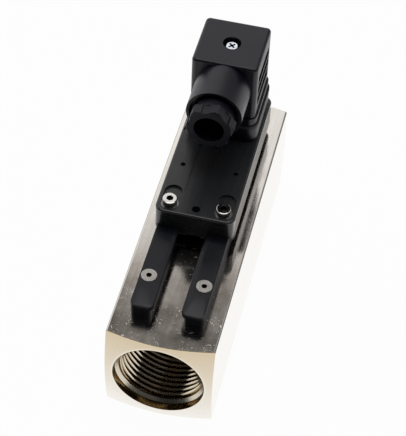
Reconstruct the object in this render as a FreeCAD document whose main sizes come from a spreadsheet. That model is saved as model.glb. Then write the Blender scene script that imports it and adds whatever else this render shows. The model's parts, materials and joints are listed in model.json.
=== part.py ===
"""Variable area flow switch: a spring-loaded float in a square pipe body, and a reed switch head that
slides on two rails above it.

Millimetres. The origin is the bottom centre of the body, +X to the right, +Y along the flow, +Z up.
"""
import FreeCAD, Part
import math
import os
import re
import Sketcher
from FreeCAD import Vector

SIZES = {
    # Pipe body
    "body_width": (41.0, "square section of the body"),
    "body_length": (135.0, "length of the body"),
    "edge_break": (0.6, "bevel along the four long edges"),
    "turned_face_step": (0.5, "flat part of each end face inside the flats of the body"),
    "turned_face_angle": (17.0, "slope of the turned cone outside it, degrees"),
    "mouth_step": (0.8, "counterbore at the mouth of each port outside the thread root"),
    "mouth_depth": (4.0, "depth of that counterbore"),
    "land_step": (0.35, "plain land before the thread outside the thread root"),
    "land_depth": (3.0, "length of that land"),
    "port_wall": (3.85, "wall between the root of the one inch pipe thread and the flats"),
    "thread_depth": (18.5, "length of the thread"),
    # Cartridge in the body
    "cartridge_step": (2.65, "bore of nozzle and spring seat inside the thread root"),
    "shoulder_step": (1.0, "bore behind the spring seat inside that bore"),
    "bore_gap": (0.05, "radial clearance of parts fitted in a bore"),
    "face_gap": (0.05, "clearance between faces that nearly touch"),
    "seat_thickness": (3.0, "spring seat disc"),
    "seat_hub_gap": (0.35, "gap between the spring and the hub that centres it"),
    "seat_hub_height": (2.5, "height of that hub"),
    "seat_hole_share": (0.208, "flow holes of the seat, radius as a share of the bore behind"),
    "seat_circle_share": (0.785, "circle they stand on, as a share of the same bore"),
    "nozzle_setback": (3.1, "collar face of the nozzle behind the end of the port"),
    "nozzle_length": (52.9, "nozzle from collar face to spring seat"),
    "collar_length": (6.9, "thick front part of the nozzle"),
    "tube_space": (1.8, "space between the slotted tube and the bore of the body"),
    "tube_wall": (1.6, "wall of the slotted tube"),
    "lip_step": (1.2, "lip that stops the float inside the bore of the tube"),
    "nozzle_lip_length": (7.6, "length of that lip"),
    "ring_seat_start": (2.3, "start of the O-ring groove from the collar face"),
    "ring_seat_width": (2.4, "width of the O-ring groove"),
    "ring_cord_radius": (0.9, "section radius of the O-ring"),
    "slot_start": (12.9, "start of the slots from the collar face"),
    "slot_margin": (4.0, "solid end of the tube behind the slots"),
    "slot_narrow": (2.0, "slot width at the inlet end"),
    "slot_wide": (6.4, "slot width at the outlet end"),
    "clip_thickness": (1.2, "retaining ring"),
    "clip_reach": (1.8, "how far the retaining ring stands into the bore"),
    "clip_groove_depth": (1.0, "groove of the retaining ring"),
    "clip_gap_width": (7.0, "gap between the ends of the retaining ring"),
    "clip_hole_radius": (0.8, "plier holes of the retaining ring"),
    # Float
    "float_gap": (0.08, "radial clearance of the float in the nozzle"),
    "float_length": (19.0, "length of the float"),
    "float_nose": (1.0, "bevel of its front edge"),
    "float_land": (4.0, "length of its front guide land"),
    "float_waist": (1.4, "depth of its waist"),
    "float_pocket_share": (0.7225, "pocket for magnet and spring as a share of the float"),
    "float_floor": (5.0, "thickness of its front face"),
    "magnet_length": (6.5, "ring magnet"),
    "magnet_hole_share": (0.46, "hole of the magnet as a share of the pocket"),
    "washer_thickness": (1.0, "washer between magnet and spring"),
    "spring_share": (0.8157, "mean radius of the return spring as a share of the pocket"),
    "spring_wire_radius": (0.45, "wire of the return spring"),
    "spring_turns": (8.0, "turns of the return spring"),
    # Rails
    "rail_centre": (9.6, "rail centre from the middle plane"),
    "rail_width": (8.8, "width of the rail flange"),
    "rail_height": (7.0, "height of the rail"),
    "rail_flange": (2.0, "thickness of the flange"),
    "rail_inset": (0.9, "how far the web stands back from the flange"),
    "rail_setback": (11.2, "end of the rail behind the end face of the body"),
    "rail_corner": (2.1, "large end chamfer of the flange"),
    "rail_small_corner": (0.8, "small end chamfer of the flange"),
    "rail_screw_x": (10.5, "rail screw from the middle plane"),
    "rail_screw_setback": (15.0, "rail screw from the end of the rail"),
    "screw_radius": (1.45, "shank of the M3 screws"),
    "thread_gap": (0.05, "radial clearance of a screw in its thread"),
    "pass_gap": (0.2, "radial clearance of a screw in a through hole"),
    "sunk_head_radius": (3.0, "countersunk head"),
    "sunk_gap": (0.1, "clearance of the countersunk head in its cone"),
    "tip_gap": (0.6, "room below the tip of a screw"),
    "rail_screw_length": (12.0, "countersunk screw"),
    "key_flats": (2.0, "hexagon socket of the rail screws, across flats"),
    "key_depth": (1.5, "depth of that socket"),
    # Head: sliding base and switch housing
    "head_width": (31.0, "width of the switch head"),
    "head_front": (-16.05, "front end of the head"),
    "head_setback": (0.05, "rear end of the head before that of the connector base"),
    "head_corner": (3.5, "corner radius of the head"),
    "skirt_drop": (2.5, "how far the base laps the rail flange"),
    "slide_gap": (0.05, "gap between rail top and base"),
    "guide_gap": (0.15, "side gap between rail and base"),
    "base_plate": (1.15, "plate of the base above the rails"),
    "keel_half": (5.0, "half width of the keel between the rails"),
    "keel_depth": (5.0, "depth of the keel below the rail top"),
    "keel_front": (-5.0, "front end of the keel"),
    "keel_setback": (2.0, "rear end of the keel before that of the head"),
    "board_pocket_half": (3.6, "half width of the reed pocket"),
    "board_pocket_front": (-3.0, "front end of the reed pocket"),
    "board_pocket_rear": (30.0, "rear end of the reed pocket"),
    "keel_floor": (1.0, "floor of the reed pocket"),
    "housing_height": (6.9, "switch housing above the base"),
    "housing_roof": (1.8, "roof of the housing"),
    "housing_wall": (1.8, "side wall of the housing"),
    "cavity_front": (-5.5, "front end of the hollow in the housing"),
    "top_edge_radius": (0.8, "rounding of the top edge"),
    "panel_half": (6.5, "half width of the sunk panel"),
    "panel_front": (-4.0, "front end of the panel"),
    "panel_depth": (0.35, "depth of the panel"),
    "pin_hole_x": (10.4, "small blind holes from the middle plane"),
    "pin_hole_y": (9.7, "their place along the flow"),
    "pin_hole_radius": (1.0, "their radius"),
    "pin_hole_depth": (1.2, "their depth"),
    "front_hole_y": (-12.1, "blind hole at the front of the housing"),
    "front_hole_radius": (1.6, "its radius"),
    "front_hole_depth": (3.0, "its depth"),
    # Clamp
    "clamp_x": (10.4, "clamp screw from the middle plane"),
    "clamp_y": (-11.2, "clamp screw along the flow"),
    "recess_radius": (3.5, "half width of the oblong recess"),
    "recess_reach": (6.0, "length of the straight part of the recess"),
    "recess_depth": (1.0, "depth of the recess"),
    "clamp_washer_radius": (3.4, "washer under the clamp screw"),
    "clamp_washer_thickness": (0.5, "its thickness"),
    "cap_head_radius": (2.75, "head of the clamp screw"),
    "cap_head_height": (3.0, "its height"),
    "cap_key_flats": (2.5, "its hexagon socket across flats"),
    "cap_key_depth": (1.8, "depth of that socket"),
    "clamp_screw_length": (6.2, "clamp screw below its head"),
    "jaw_length": (7.6, "jaw along the rail"),
    "jaw_arm": (2.5, "thickness of the jaw arm"),
    "jaw_inner": (2.7, "inner side of the jaw leg"),
    "jaw_outer": (13.0, "outer end of the jaw arm"),
    "jaw_leg_outer": (4.9, "outer side of the jaw leg"),
    "jaw_toe": (0.75, "how far the toe reaches under the flange"),
    "jaw_toe_height": (2.0, "thickness of the toe"),
    "jaw_gap": (0.2, "gap round the jaw in its pocket"),
    "jaw_travel": (0.5, "how far the jaw drops in one turn"),
    # Reed contact
    "board_width": (6.8, "circuit board"),
    "board_length": (32.4, "its length"),
    "board_thickness": (1.0, "its thickness"),
    "reed_radius": (1.1, "glass of the reed contact"),
    "reed_length": (14.0, "its length"),
    "reed_front": (3.0, "front end of the glass"),
    "reed_shoulder": (0.4, "bevel of its ends"),
    "lead_radius": (0.3, "leads of the reed contact"),
    "lead_reach": (3.0, "length of each lead before its bend"),
    "wire_radius": (0.55, "lead wires"),
    "wire_spacing": (2.2, "distance between the wires at the board"),
    "wire_start": (27.0, "where they leave the board"),
    "wire_rise": (1.8, "height above the base at which they cross"),
    "wire_bend": (1.5, "bend radius of the wires"),
    # Connector base
    "plug_y": (41.85, "centre of the connector along the flow"),
    "base_half": (14.2, "half width of the connector base"),
    "base_height": (6.9, "height of the connector base"),
    "base_corner": (4.5, "its corner radius"),
    "base_hollow_half": (10.4, "half width of the hollow below it"),
    "base_top": (3.0, "thickness of its top"),
    "tongue_half": (10.6, "half width of the contact tongue"),
    "tongue_height": (3.0, "height of the tongue"),
    "blade_radius_place": (9.0, "blades from the centre"),
    "blade_width": (6.3, "width of a blade"),
    "blade_thickness": (0.8, "thickness of a blade"),
    "blade_tail": (9.5, "blade below the top of the base"),
    "blade_tip": (10.0, "blade above the top of the base"),
    "blade_gap": (0.05, "gap round a blade in the base"),
    "column_radius": (5.0, "column round the threaded insert"),
    "insert_radius": (2.9, "threaded insert"),
    "insert_length": (5.0, "its length"),
    "insert_cover": (1.0, "plastic above the insert"),
    "gasket_lap": (0.1, "how far the plug gasket passes the connector base"),
    "gasket_thickness": (1.5, "its thickness"),
    "gasket_window_half": (10.9, "half width of its window"),
    # Plug
    "plug_half": (12.9, "half width of the plug"),
    "plug_height": (28.8, "height of the plug above the gasket"),
    "plug_corner": (1.8, "its upright corners"),
    "plug_edge": (1.2, "its top edges"),
    "skirt_half": (13.6, "half width of its skirt"),
    "skirt_height": (3.5, "height of its skirt"),
    "skirt_corner": (3.2, "corner radius of its skirt"),
    "block_bay_half": (11.2, "half width of the bay for the terminal block"),
    "block_bay_height": (11.5, "height of that bay"),
    "wire_bay_half": (10.2, "half width of the wiring space"),
    "wire_bay_height": (11.2, "height of the wiring space"),
    "well_radius": (3.55, "well of the centre screw"),
    "well_depth": (4.1, "depth of that well"),
    "rib_pitch": (5.2, "pitch of the grooves in the plug sides"),
    "rib_groove": (4.2, "height of a groove"),
    "rib_depth": (0.8, "depth of a groove"),
    "rib_reach": (9.5, "half length of a groove"),
    # Gland
    "gland_height": (17.5, "gland axis above the gasket"),
    "gland_boss_radius": (10.8, "round boss of the gland"),
    "gland_boss_reach": (28.85, "outer end of the boss before the centre of the connector"),
    "gland_mouth_radius": (9.7, "mouth of the boss"),
    "gland_mouth_depth": (3.0, "depth of the mouth"),
    "gland_thread_radius": (8.3, "threaded shank of the gland nut"),
    "gland_thread_depth": (4.5, "threaded bore of the boss"),
    "gland_pocket_radius": (7.5, "pocket for the seal"),
    "gland_pocket_depth": (7.0, "depth of that pocket"),
    "gland_bore_radius": (5.6, "cable way into the plug"),
    "thrust_seat": (0.45, "how far the thrust ring stands in the threaded bore"),
    "nut_reach": (8.3, "front face of the gland nut before the end of the boss"),
    "nut_flats": (17.0, "gland nut across flats"),
    "nut_head": (4.5, "thickness of its hexagon"),
    "nut_bore_radius": (5.8, "bore of the nut"),
    "nut_roll": (12.0, "turn of the nut in the photo, degrees"),
    "nut_bevel": (0.5, "how far the hexagon corners are turned down"),
    "nut_notch_width": (3.2, "notch in the middle of each flat"),
    "nut_notch_depth": (0.4, "its depth"),
    "thrust_thickness": (1.2, "thrust ring"),
    "thrust_radius": (7.4, "outside of the thrust ring"),
    "thrust_bore_radius": (4.6, "its bore"),
    "seal_radius": (7.3, "cable seal"),
    "seal_bore_radius": (4.2, "its bore"),
    # Terminal block
    "terminal_half": (10.95, "half width of the terminal block"),
    "terminal_floor": (0.9, "floor of the block"),
    "terminal_height": (9.7, "height of the block"),
    "socket_inner": (5.0, "inner end of a terminal socket from the centre"),
    "socket_outer": (10.3, "outer end of a terminal socket"),
    "socket_width": (7.0, "width of a terminal socket"),
    "socket_gap": (0.1, "gap round a socket in the block"),
    "socket_slot_gap": (0.1, "gap round a blade in its socket"),
    "terminal_screw_place": (6.6, "terminal screw from the centre"),
    "terminal_screw_radius": (1.25, "terminal screw"),
    "terminal_head_radius": (1.9, "its head"),
    "terminal_head_height": (1.45, "height of its head"),
    "terminal_screw_length": (4.7, "its length below the head"),
    # Centre screw
    "centre_washer_thickness": (0.6, "sealing washer"),
    "centre_washer_radius": (2.9, "its radius"),
    "centre_head_radius": (2.4, "head of the centre screw"),
    "centre_head_height": (1.7, "its height"),
    "centre_screw_length": (30.8, "centre screw below its head"),
    "cross_width": (0.75, "cross recess"),
    "cross_length": (3.0, "its length"),
    "cross_depth": (0.9, "its depth"),
    # Cutting outlines
    "overrun": (1.0, "how far a cutting outline passes the surface that it opens"),
}
SLOT_COUNT = 4
SEAT_HOLE_COUNT = 6
WIRE_SIDES = 8
GROOVE_COUNT = 3
BLADE_COUNT = 4
NUT_SIDES = 6
LEVEL_MATCH = 1e-6
VOLUME_MATCH = 1e-3

doc = FreeCAD.newDocument("VariableAreaFlowSwitch")
sheet = doc.addObject("Spreadsheet::Sheet", "Sizes")
for row, (word, (number, meaning)) in enumerate(SIZES.items(), start=1):
    sheet.set("A%d" % row, word)
    sheet.set("B%d" % row, str(number))
    sheet.setAlias("B%d" % row, word)
    sheet.set("C%d" % row, meaning)
doc.recompute()

# Heights and places that several pieces share, as expressions on the sheet
FLOW_HEIGHT = "(body_width / 2)"
HALF_LENGTH = "(body_length / 2)"
PORT_DEPTH = "(mouth_depth + land_depth + thread_depth)"
PORT_BOTTOM = "(%s - %s)" % (HALF_LENGTH, PORT_DEPTH)
THREAD_ROOT = "(body_width / 2 - port_wall)"
CARTRIDGE_RADIUS = "(%s - cartridge_step)" % THREAD_ROOT
OUTLET_RADIUS = "(%s - shoulder_step)" % CARTRIDGE_RADIUS
TUBE_RADIUS = "(%s - tube_space)" % CARTRIDGE_RADIUS
TUBE_BORE = "(%s - tube_wall)" % TUBE_RADIUS
FLOAT_RADIUS = "(%s - float_gap)" % TUBE_BORE
POCKET_RADIUS = "(%s * float_pocket_share)" % FLOAT_RADIUS
MAGNET_HOLE = "(%s * magnet_hole_share)" % POCKET_RADIUS
SPRING_RADIUS = "(%s * spring_share)" % POCKET_RADIUS
NOZZLE_FRONT = "(nozzle_setback - %s)" % PORT_BOTTOM
SEAT_FRONT = "(%s + nozzle_length)" % NOZZLE_FRONT
SHOULDER = "(%s + seat_thickness)" % SEAT_FRONT
FLOAT_FRONT = "(%s + nozzle_lip_length + face_gap)" % NOZZLE_FRONT
MAGNET_FRONT = "(%s + float_floor + face_gap)" % FLOAT_FRONT
WASHER_FRONT = "(%s + magnet_length + face_gap)" % MAGNET_FRONT
SPRING_FRONT = "(%s + washer_thickness)" % WASHER_FRONT
RAIL_LENGTH = "(body_length - 2 * rail_setback)"
RAIL_SCREW_Y = "(%s / 2 - rail_screw_setback)" % RAIL_LENGTH
RAIL_TOP = "(body_width + rail_height)"
FLANGE_BOTTOM = "(body_width + rail_height - rail_flange)"
BASE_TOP = "(body_width + rail_height + slide_gap + base_plate)"
HOUSING_TOP = "(%s + housing_height)" % BASE_TOP
HEAD_REAR = "(plug_y + base_half - head_setback)"
RECESS_FLOOR = "(%s - recess_depth)" % HOUSING_TOP
JAW_BOTTOM = "(%s - face_gap - jaw_toe_height)" % FLANGE_BOTTOM
JAW_ARM_BOTTOM = "(%s + jaw_travel + jaw_gap)" % BASE_TOP
JAW_POCKET_FRONT = "(clamp_y - jaw_length / 2 - jaw_gap)"
JAW_POCKET_REAR = "(clamp_y + jaw_length / 2 + jaw_gap)"
BOARD_FLOOR = "(%s - keel_depth + keel_floor)" % RAIL_TOP
CONNECTOR_TOP = "(%s + base_height)" % HOUSING_TOP
TONGUE_TOP = "(%s + tongue_height)" % CONNECTOR_TOP
PLUG_BOTTOM = "(%s + gasket_thickness)" % CONNECTOR_TOP
PLUG_TOP = "(%s + plug_height)" % PLUG_BOTTOM
BAY_TOP = "(%s + block_bay_height)" % PLUG_BOTTOM
WELL_FLOOR = "(%s - well_depth)" % PLUG_TOP
GLAND_AXIS = "(%s + gland_height)" % PLUG_BOTTOM
BOSS_END = "(plug_y - gland_boss_reach)"
NUT_FRONT = "(%s - nut_reach)" % BOSS_END
SEAL_END = "(%s + gland_mouth_depth + gland_thread_depth + gland_pocket_depth)" % BOSS_END
THRUST_FRONT = "(%s + gland_mouth_depth + gland_thread_depth - thrust_seat)" % BOSS_END


def bound(text):
    """The expression with each size named as a cell of the sheet."""
    return re.sub(r"[a-z][a-z_]*", lambda word: "Sizes." + word.group(0) if word.group(0) in SIZES
                  else word.group(0), text)


def amount(text):
    """What an expression on the sheet comes to."""
    return float(sheet.evalExpression(bound(text)))


def new_body(label, place=("0", "0", "0")):
    """An empty body whose origin is held at a place given by three expressions."""
    body = doc.addObject("PartDesign::Body", label)
    body.Label = label
    for axis, text in zip("xyz", place):
        if text != "0":
            body.setExpression("Placement.Base." + axis, bound(text))
    return body


def new_sketch(body, name, plane, shift=("0", "0", "0")):
    """A sketch on one of the body's origin planes, shifted in it and along its normal."""
    sketch = body.newObject("Sketcher::SketchObject", name)
    origin_plane = [item for item in body.Origin.OriginFeatures if item.Role == plane][0]
    sketch.AttachmentSupport = [(origin_plane, "")]
    sketch.MapMode = "FlatFace"
    for axis, text in zip("xyz", shift):
        if text != "0":
            sketch.setExpression("AttachmentOffset.Base." + axis, bound(text))
    return sketch


def hold(sketch, kind, places, text):
    """A dimension of the sketch, bound to an expression."""
    number = sketch.addConstraint(Sketcher.Constraint(kind, *places, amount(text)))
    sketch.setExpression("Constraints[%d]" % number, bound(text))


def outline(sketch, points):
    """A closed straight-sided outline whose corners are held from the sketch's origin."""
    first = sketch.GeometryCount
    corners = [Vector(amount(across), amount(along), 0) for across, along in points]
    count = len(corners)
    for index, corner in enumerate(corners):
        sketch.addGeometry(Part.LineSegment(corner, corners[(index + 1) % count]))
    for index in range(count):
        follower = first + (index + 1) % count
        sketch.addConstraint(Sketcher.Constraint("Coincident", first + index, 2, follower, 1))
    for index, (across, along) in enumerate(points):
        hold(sketch, "DistanceX", (-1, 1, first + index, 1), across)
        hold(sketch, "DistanceY", (-1, 1, first + index, 1), along)
    return sketch


def rectangle(sketch, left, right, near, far):
    """A rectangle between two places across and two along."""
    return outline(sketch, [(left, near), (right, near), (right, far), (left, far)])


def circle(sketch, across, along, radius):
    """A circle held by its centre and radius."""
    centre = Vector(amount(across), amount(along), 0)
    number = sketch.addGeometry(Part.Circle(centre, Vector(0, 0, 1), amount(radius)))
    hold(sketch, "Radius", (number,), radius)
    hold(sketch, "DistanceX", (-1, 1, number, 3), across)
    hold(sketch, "DistanceY", (-1, 1, number, 3), along)
    return sketch


def pad(body, name, sketch, length, reverse=False, symmetric=False):
    """The sketch raised by a length along its plane's normal, or against it."""
    made = body.newObject("PartDesign::Pad", name)
    made.Profile = sketch
    made.setExpression("Length", bound(length))
    made.Reversed = reverse
    made.SideType = "Symmetric" if symmetric else "One side"
    doc.recompute()
    return made


def compare_cut(body, made, before):
    """A cut that misses the solid raises, because it shows no error of its own."""
    doc.recompute()
    if made.Shape.Volume > before - VOLUME_MATCH:
        raise RuntimeError("%s cuts nothing from %s" % (made.Label, body.Label))
    return made


def pocket(body, name, sketch, depth, reverse=False):
    """The sketch cut into the body against its plane's normal, or along it when reversed."""
    before = body.Shape.Volume
    made = body.newObject("PartDesign::Pocket", name)
    made.Profile = sketch
    if depth == "through":
        made.Type = "ThroughAll"
        made.SideType = "Symmetric"
    else:
        made.setExpression("Length", bound(depth))
    made.Reversed = reverse
    return compare_cut(body, made, before)


def revolve(body, name, sketch, axis):
    """The sketch turned a full circle about one of its own axes."""
    made = body.newObject("PartDesign::Revolution", name)
    made.Profile = sketch
    made.ReferenceAxis = (sketch, [axis])
    made.Angle = 360
    doc.recompute()
    return made


def groove(body, name, sketch, axis):
    """The sketch turned a full circle about one of its own axes and cut away."""
    before = body.Shape.Volume
    made = body.newObject("PartDesign::Groove", name)
    made.Profile = sketch
    made.ReferenceAxis = (sketch, [axis])
    made.Angle = 360
    return compare_cut(body, made, before)


def round_edges(body, name, chosen, radius):
    """A fillet on the edges of the body's tip that pass the test."""
    tip = body.Tip
    names = ["Edge%d" % number for number, edge in enumerate(tip.Shape.Edges, start=1) if chosen(edge)]
    if not names:
        raise RuntimeError("no edges found for %s of %s" % (name, body.Label))
    made = body.newObject("PartDesign::Fillet", name)
    made.Base = (tip, names)
    made.setExpression("Radius", bound(radius))
    doc.recompute()
    return made


def along_axis(edge, axis):
    """Whether the edge is a straight line along a direction."""
    if not isinstance(edge.Curve, Part.Line):
        return False
    return edge.Curve.Direction.cross(axis).Length < LEVEL_MATCH


def around_axis(body, name, feature, axis_role, count):
    """A polar pattern of one feature about an axis of the body's origin."""
    axis = [item for item in body.Origin.OriginFeatures if item.Role == axis_role][0]
    made = body.newObject("PartDesign::PolarPattern", name)
    made.Originals = [feature]
    made.Axis = (axis, [""])
    made.Angle = 360
    made.Occurrences = count
    body.Tip = made
    doc.recompute()
    return made


def hexagon(sketch, flats, across="0", along="0"):
    """A regular hexagon of a size across its flats, standing on a corner."""
    radius = "(%s) / 2 / cos(30)" % flats
    turns = [0, 60, 120, 180, 240, 300]
    points = [("%s + %s * cos(%d)" % (across, radius, turn), "%s + %s * sin(%d)" % (along, radius, turn))
              for turn in turns]
    return outline(sketch, points)


def copies(label, source, places):
    """Separate solids of one piece, each held at its own place, in one node."""
    links = []
    for number, place in enumerate(places, start=1):
        link = doc.addObject("App::Link", "%s_%d" % (label, number))
        link.LinkedObject = source
        for axis, text in zip("xyz", place):
            link.setExpression("Placement.Base." + axis, bound(text))
        links.append(link)
    group = doc.addObject("Part::Compound", label)
    group.Label = label
    group.Links = links
    doc.recompute()
    return group


def obround(sketch, across, near, far, radius):
    """A slot with round ends whose two centres lie in line along the second direction."""
    middle, start, end, turn = amount(across), amount(near), amount(far), amount(radius)
    up = Vector(0, 0, 1)
    sketch.addGeometry(Part.LineSegment(Vector(middle + turn, start, 0), Vector(middle + turn, end, 0)))
    sketch.addGeometry(Part.ArcOfCircle(Part.Circle(Vector(middle, end, 0), up, turn), 0, math.pi))
    sketch.addGeometry(Part.LineSegment(Vector(middle - turn, end, 0), Vector(middle - turn, start, 0)))
    near_circle = Part.Circle(Vector(middle, start, 0), up, turn)
    sketch.addGeometry(Part.ArcOfCircle(near_circle, math.pi, 2 * math.pi))
    for one in range(4):
        sketch.addConstraint(Sketcher.Constraint("Tangent", one, 2, (one + 1) % 4, 1))
    hold(sketch, "Radius", (1,), radius)
    hold(sketch, "DistanceX", (-1, 1, 1, 3), across)
    hold(sketch, "DistanceY", (-1, 1, 1, 3), far)
    hold(sketch, "DistanceY", (-1, 1, 3, 3), near)
    return sketch


def turned_ring(label, place, plane, axis, near, far, inner, outer):
    """A plain ring between two places on its axis."""
    body = new_body(label, place)
    section = new_sketch(body, label + "_section", plane)
    if axis == "H_Axis":
        rectangle(section, near, far, inner, outer)
    else:
        rectangle(section, inner, outer, near, far)
    revolve(body, label + "_turned", section, axis)
    return body


def pipe_body():
    """Square body with a threaded port at each end and the bore that holds the cartridge."""
    body = new_body("body", ("0", "0", FLOW_HEIGHT))
    half = "(body_width / 2)"
    inner = "(body_width / 2 - edge_break)"
    section = new_sketch(body, "body_section", "XZ_Plane")
    outline(section, [("-" + inner, "-" + half), (inner, "-" + half), (half, "-" + inner), (half, inner),
                      (inner, half), ("-" + inner, half), ("-" + half, inner), ("-" + half, "-" + inner)])
    pad(body, "body_bar", section, "body_length", symmetric=True)
    corner = "(body_width / sqrt(2) + overrun)"
    face_radius = "(body_width / 2 - turned_face_step)"
    setback = "((%s - %s) * tan(turned_face_angle))" % (corner, face_radius)
    for name, end in (("inlet", "-1"), ("outlet", "1")):
        cone = new_sketch(body, name + "_cone_section", "YZ_Plane")
        face = "%s * %s" % (end, HALF_LENGTH)
        outline(cone, [(face, face_radius), (face, corner),
                       ("%s * (%s - %s)" % (end, HALF_LENGTH, setback), corner)])
        groove(body, name + "_cone", cone, "H_Axis")
    mouth_radius = "(%s + mouth_step)" % THREAD_ROOT
    land_radius = "(%s + land_step)" % THREAD_ROOT
    port = [("%s", mouth_radius), ("(%s - mouth_depth)", mouth_radius),
            ("(%s - mouth_depth)", land_radius), ("(%s - mouth_depth - land_depth)", land_radius),
            ("(%s - mouth_depth - land_depth)", THREAD_ROOT),
            ("(%s - mouth_depth - land_depth - thread_depth)", THREAD_ROOT)]
    inlet = [("-" + place % HALF_LENGTH, radius) for place, radius in port]
    outlet = [(place % HALF_LENGTH, radius) for place, radius in reversed(port)]
    clip_front = "(%s - clip_thickness - face_gap)" % NOZZLE_FRONT
    clip_radius = "(%s + clip_groove_depth)" % CARTRIDGE_RADIUS
    middle = [("-" + PORT_BOTTOM, CARTRIDGE_RADIUS), (clip_front, CARTRIDGE_RADIUS),
              (clip_front, clip_radius), (NOZZLE_FRONT, clip_radius), (NOZZLE_FRONT, CARTRIDGE_RADIUS),
              (SHOULDER, CARTRIDGE_RADIUS), (SHOULDER, OUTLET_RADIUS), (PORT_BOTTOM, OUTLET_RADIUS)]
    bore = new_sketch(body, "flow_bore_section", "YZ_Plane")
    outline(bore, [("-" + HALF_LENGTH, "0")] + inlet + middle + outlet + [(HALF_LENGTH, "0")])
    groove(body, "flow_bore", bore, "H_Axis")
    holes = new_sketch(body, "rail_screw_hole_places", "XY_Plane", ("0", "0", half))
    for side in ("-", ""):
        for end in ("-", ""):
            circle(holes, side + "rail_screw_x", end + RAIL_SCREW_Y, "screw_radius + thread_gap")
    pocket(body, "rail_screw_holes", holes, "rail_screw_length - rail_height + tip_gap")
    return body


def slotted_nozzle():
    """Nozzle that guides the float and lets the flow out through four widening slots."""
    body = new_body("slotted_nozzle", ("0", "0", FLOW_HEIGHT))
    outer = "(%s - bore_gap)" % CARTRIDGE_RADIUS
    lip = "(%s - lip_step)" % TUBE_BORE
    seat = "(%s - 2 * ring_cord_radius - bore_gap)" % outer
    seat_start = "(%s + ring_seat_start)" % NOZZLE_FRONT
    seat_end = "(%s + ring_seat_width)" % seat_start
    collar_end = "(%s + collar_length)" % NOZZLE_FRONT
    lip_end = "(%s + nozzle_lip_length)" % NOZZLE_FRONT
    section = new_sketch(body, "nozzle_section", "YZ_Plane")
    outline(section, [(NOZZLE_FRONT, lip), (NOZZLE_FRONT, outer), (seat_start, outer),
                      (seat_start, seat), (seat_end, seat), (seat_end, outer), (collar_end, outer),
                      (collar_end, TUBE_RADIUS), (SEAT_FRONT, TUBE_RADIUS), (SEAT_FRONT, TUBE_BORE),
                      (lip_end, TUBE_BORE), (lip_end, lip)])
    revolve(body, "nozzle_turned", section, "H_Axis")
    start = "(%s + slot_start)" % NOZZLE_FRONT
    end = "(%s - slot_margin)" % SEAT_FRONT
    slot = new_sketch(body, "slot_outline", "XY_Plane")
    outline(slot, [("-(slot_narrow / 2)", start), ("(slot_narrow / 2)", start),
                   ("(slot_wide / 2)", end), ("-(slot_wide / 2)", end)])
    cut = pocket(body, "slot", slot, CARTRIDGE_RADIUS, reverse=True)
    around_axis(body, "slots", cut, "Y_Axis", SLOT_COUNT)
    return body


def nozzle_o_ring():
    """O-ring in the groove of the nozzle collar."""
    ring = doc.addObject("Part::Torus", "nozzle_o_ring")
    ring.Label = "nozzle_o_ring"
    ring.setExpression("Radius1", bound("%s - bore_gap - ring_cord_radius" % CARTRIDGE_RADIUS))
    ring.setExpression("Radius2", bound("ring_cord_radius"))
    ring.Placement.Rotation = FreeCAD.Rotation(Vector(1, 0, 0), 90)
    middle = "(%s + ring_seat_start + ring_seat_width / 2)" % NOZZLE_FRONT
    ring.setExpression("Placement.Base.y", bound(middle))
    ring.setExpression("Placement.Base.z", bound(FLOW_HEIGHT))
    return ring


def retaining_ring():
    """Snap ring in the inlet bore, with two plier holes beside its gap."""
    outer = "(%s + clip_groove_depth - bore_gap)" % CARTRIDGE_RADIUS
    inner = "(%s - clip_reach)" % CARTRIDGE_RADIUS
    middle = "((%s + %s) / 2)" % (inner, outer)
    body = turned_ring("retaining_ring", ("0", "0", FLOW_HEIGHT), "YZ_Plane", "H_Axis",
                       "(%s - clip_thickness)" % NOZZLE_FRONT, NOZZLE_FRONT, inner, outer)
    gap = new_sketch(body, "clip_gap_outline", "XZ_Plane")
    rectangle(gap, "-(clip_gap_width / 2)", "(clip_gap_width / 2)", "0", outer + " + overrun")
    pocket(body, "clip_gap", gap, "through")
    holes = new_sketch(body, "clip_hole_places", "XZ_Plane")
    across = "(clip_gap_width / 2 + 2 * clip_hole_radius)"
    for side in ("-", ""):
        circle(holes, side + across, "sqrt(%s ^ 2 - %s ^ 2)" % (middle, across), "clip_hole_radius")
    pocket(body, "clip_holes", holes, "through")
    return body


def spring_seat():
    """Perforated disc on the shoulder of the bore, with a hub for the spring."""
    body = new_body("spring_seat", ("0", "0", FLOW_HEIGHT))
    hub_front = "(%s - seat_hub_height)" % SEAT_FRONT
    hub = "(%s - spring_wire_radius - seat_hub_gap)" % SPRING_RADIUS
    outer = "(%s - bore_gap)" % CARTRIDGE_RADIUS
    section = new_sketch(body, "seat_section", "YZ_Plane")
    outline(section, [(hub_front, "0"), (hub_front, hub), (SEAT_FRONT, hub), (SEAT_FRONT, outer),
                      (SHOULDER, outer), (SHOULDER, "0")])
    revolve(body, "seat_turned", section, "H_Axis")
    hole = new_sketch(body, "seat_hole_place", "XZ_Plane")
    circle(hole, "0", "%s * seat_circle_share" % OUTLET_RADIUS, "%s * seat_hole_share" % OUTLET_RADIUS)
    cut = pocket(body, "seat_hole", hole, "through")
    around_axis(body, "seat_holes", cut, "Y_Axis", SEAT_HOLE_COUNT)
    return body


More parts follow.
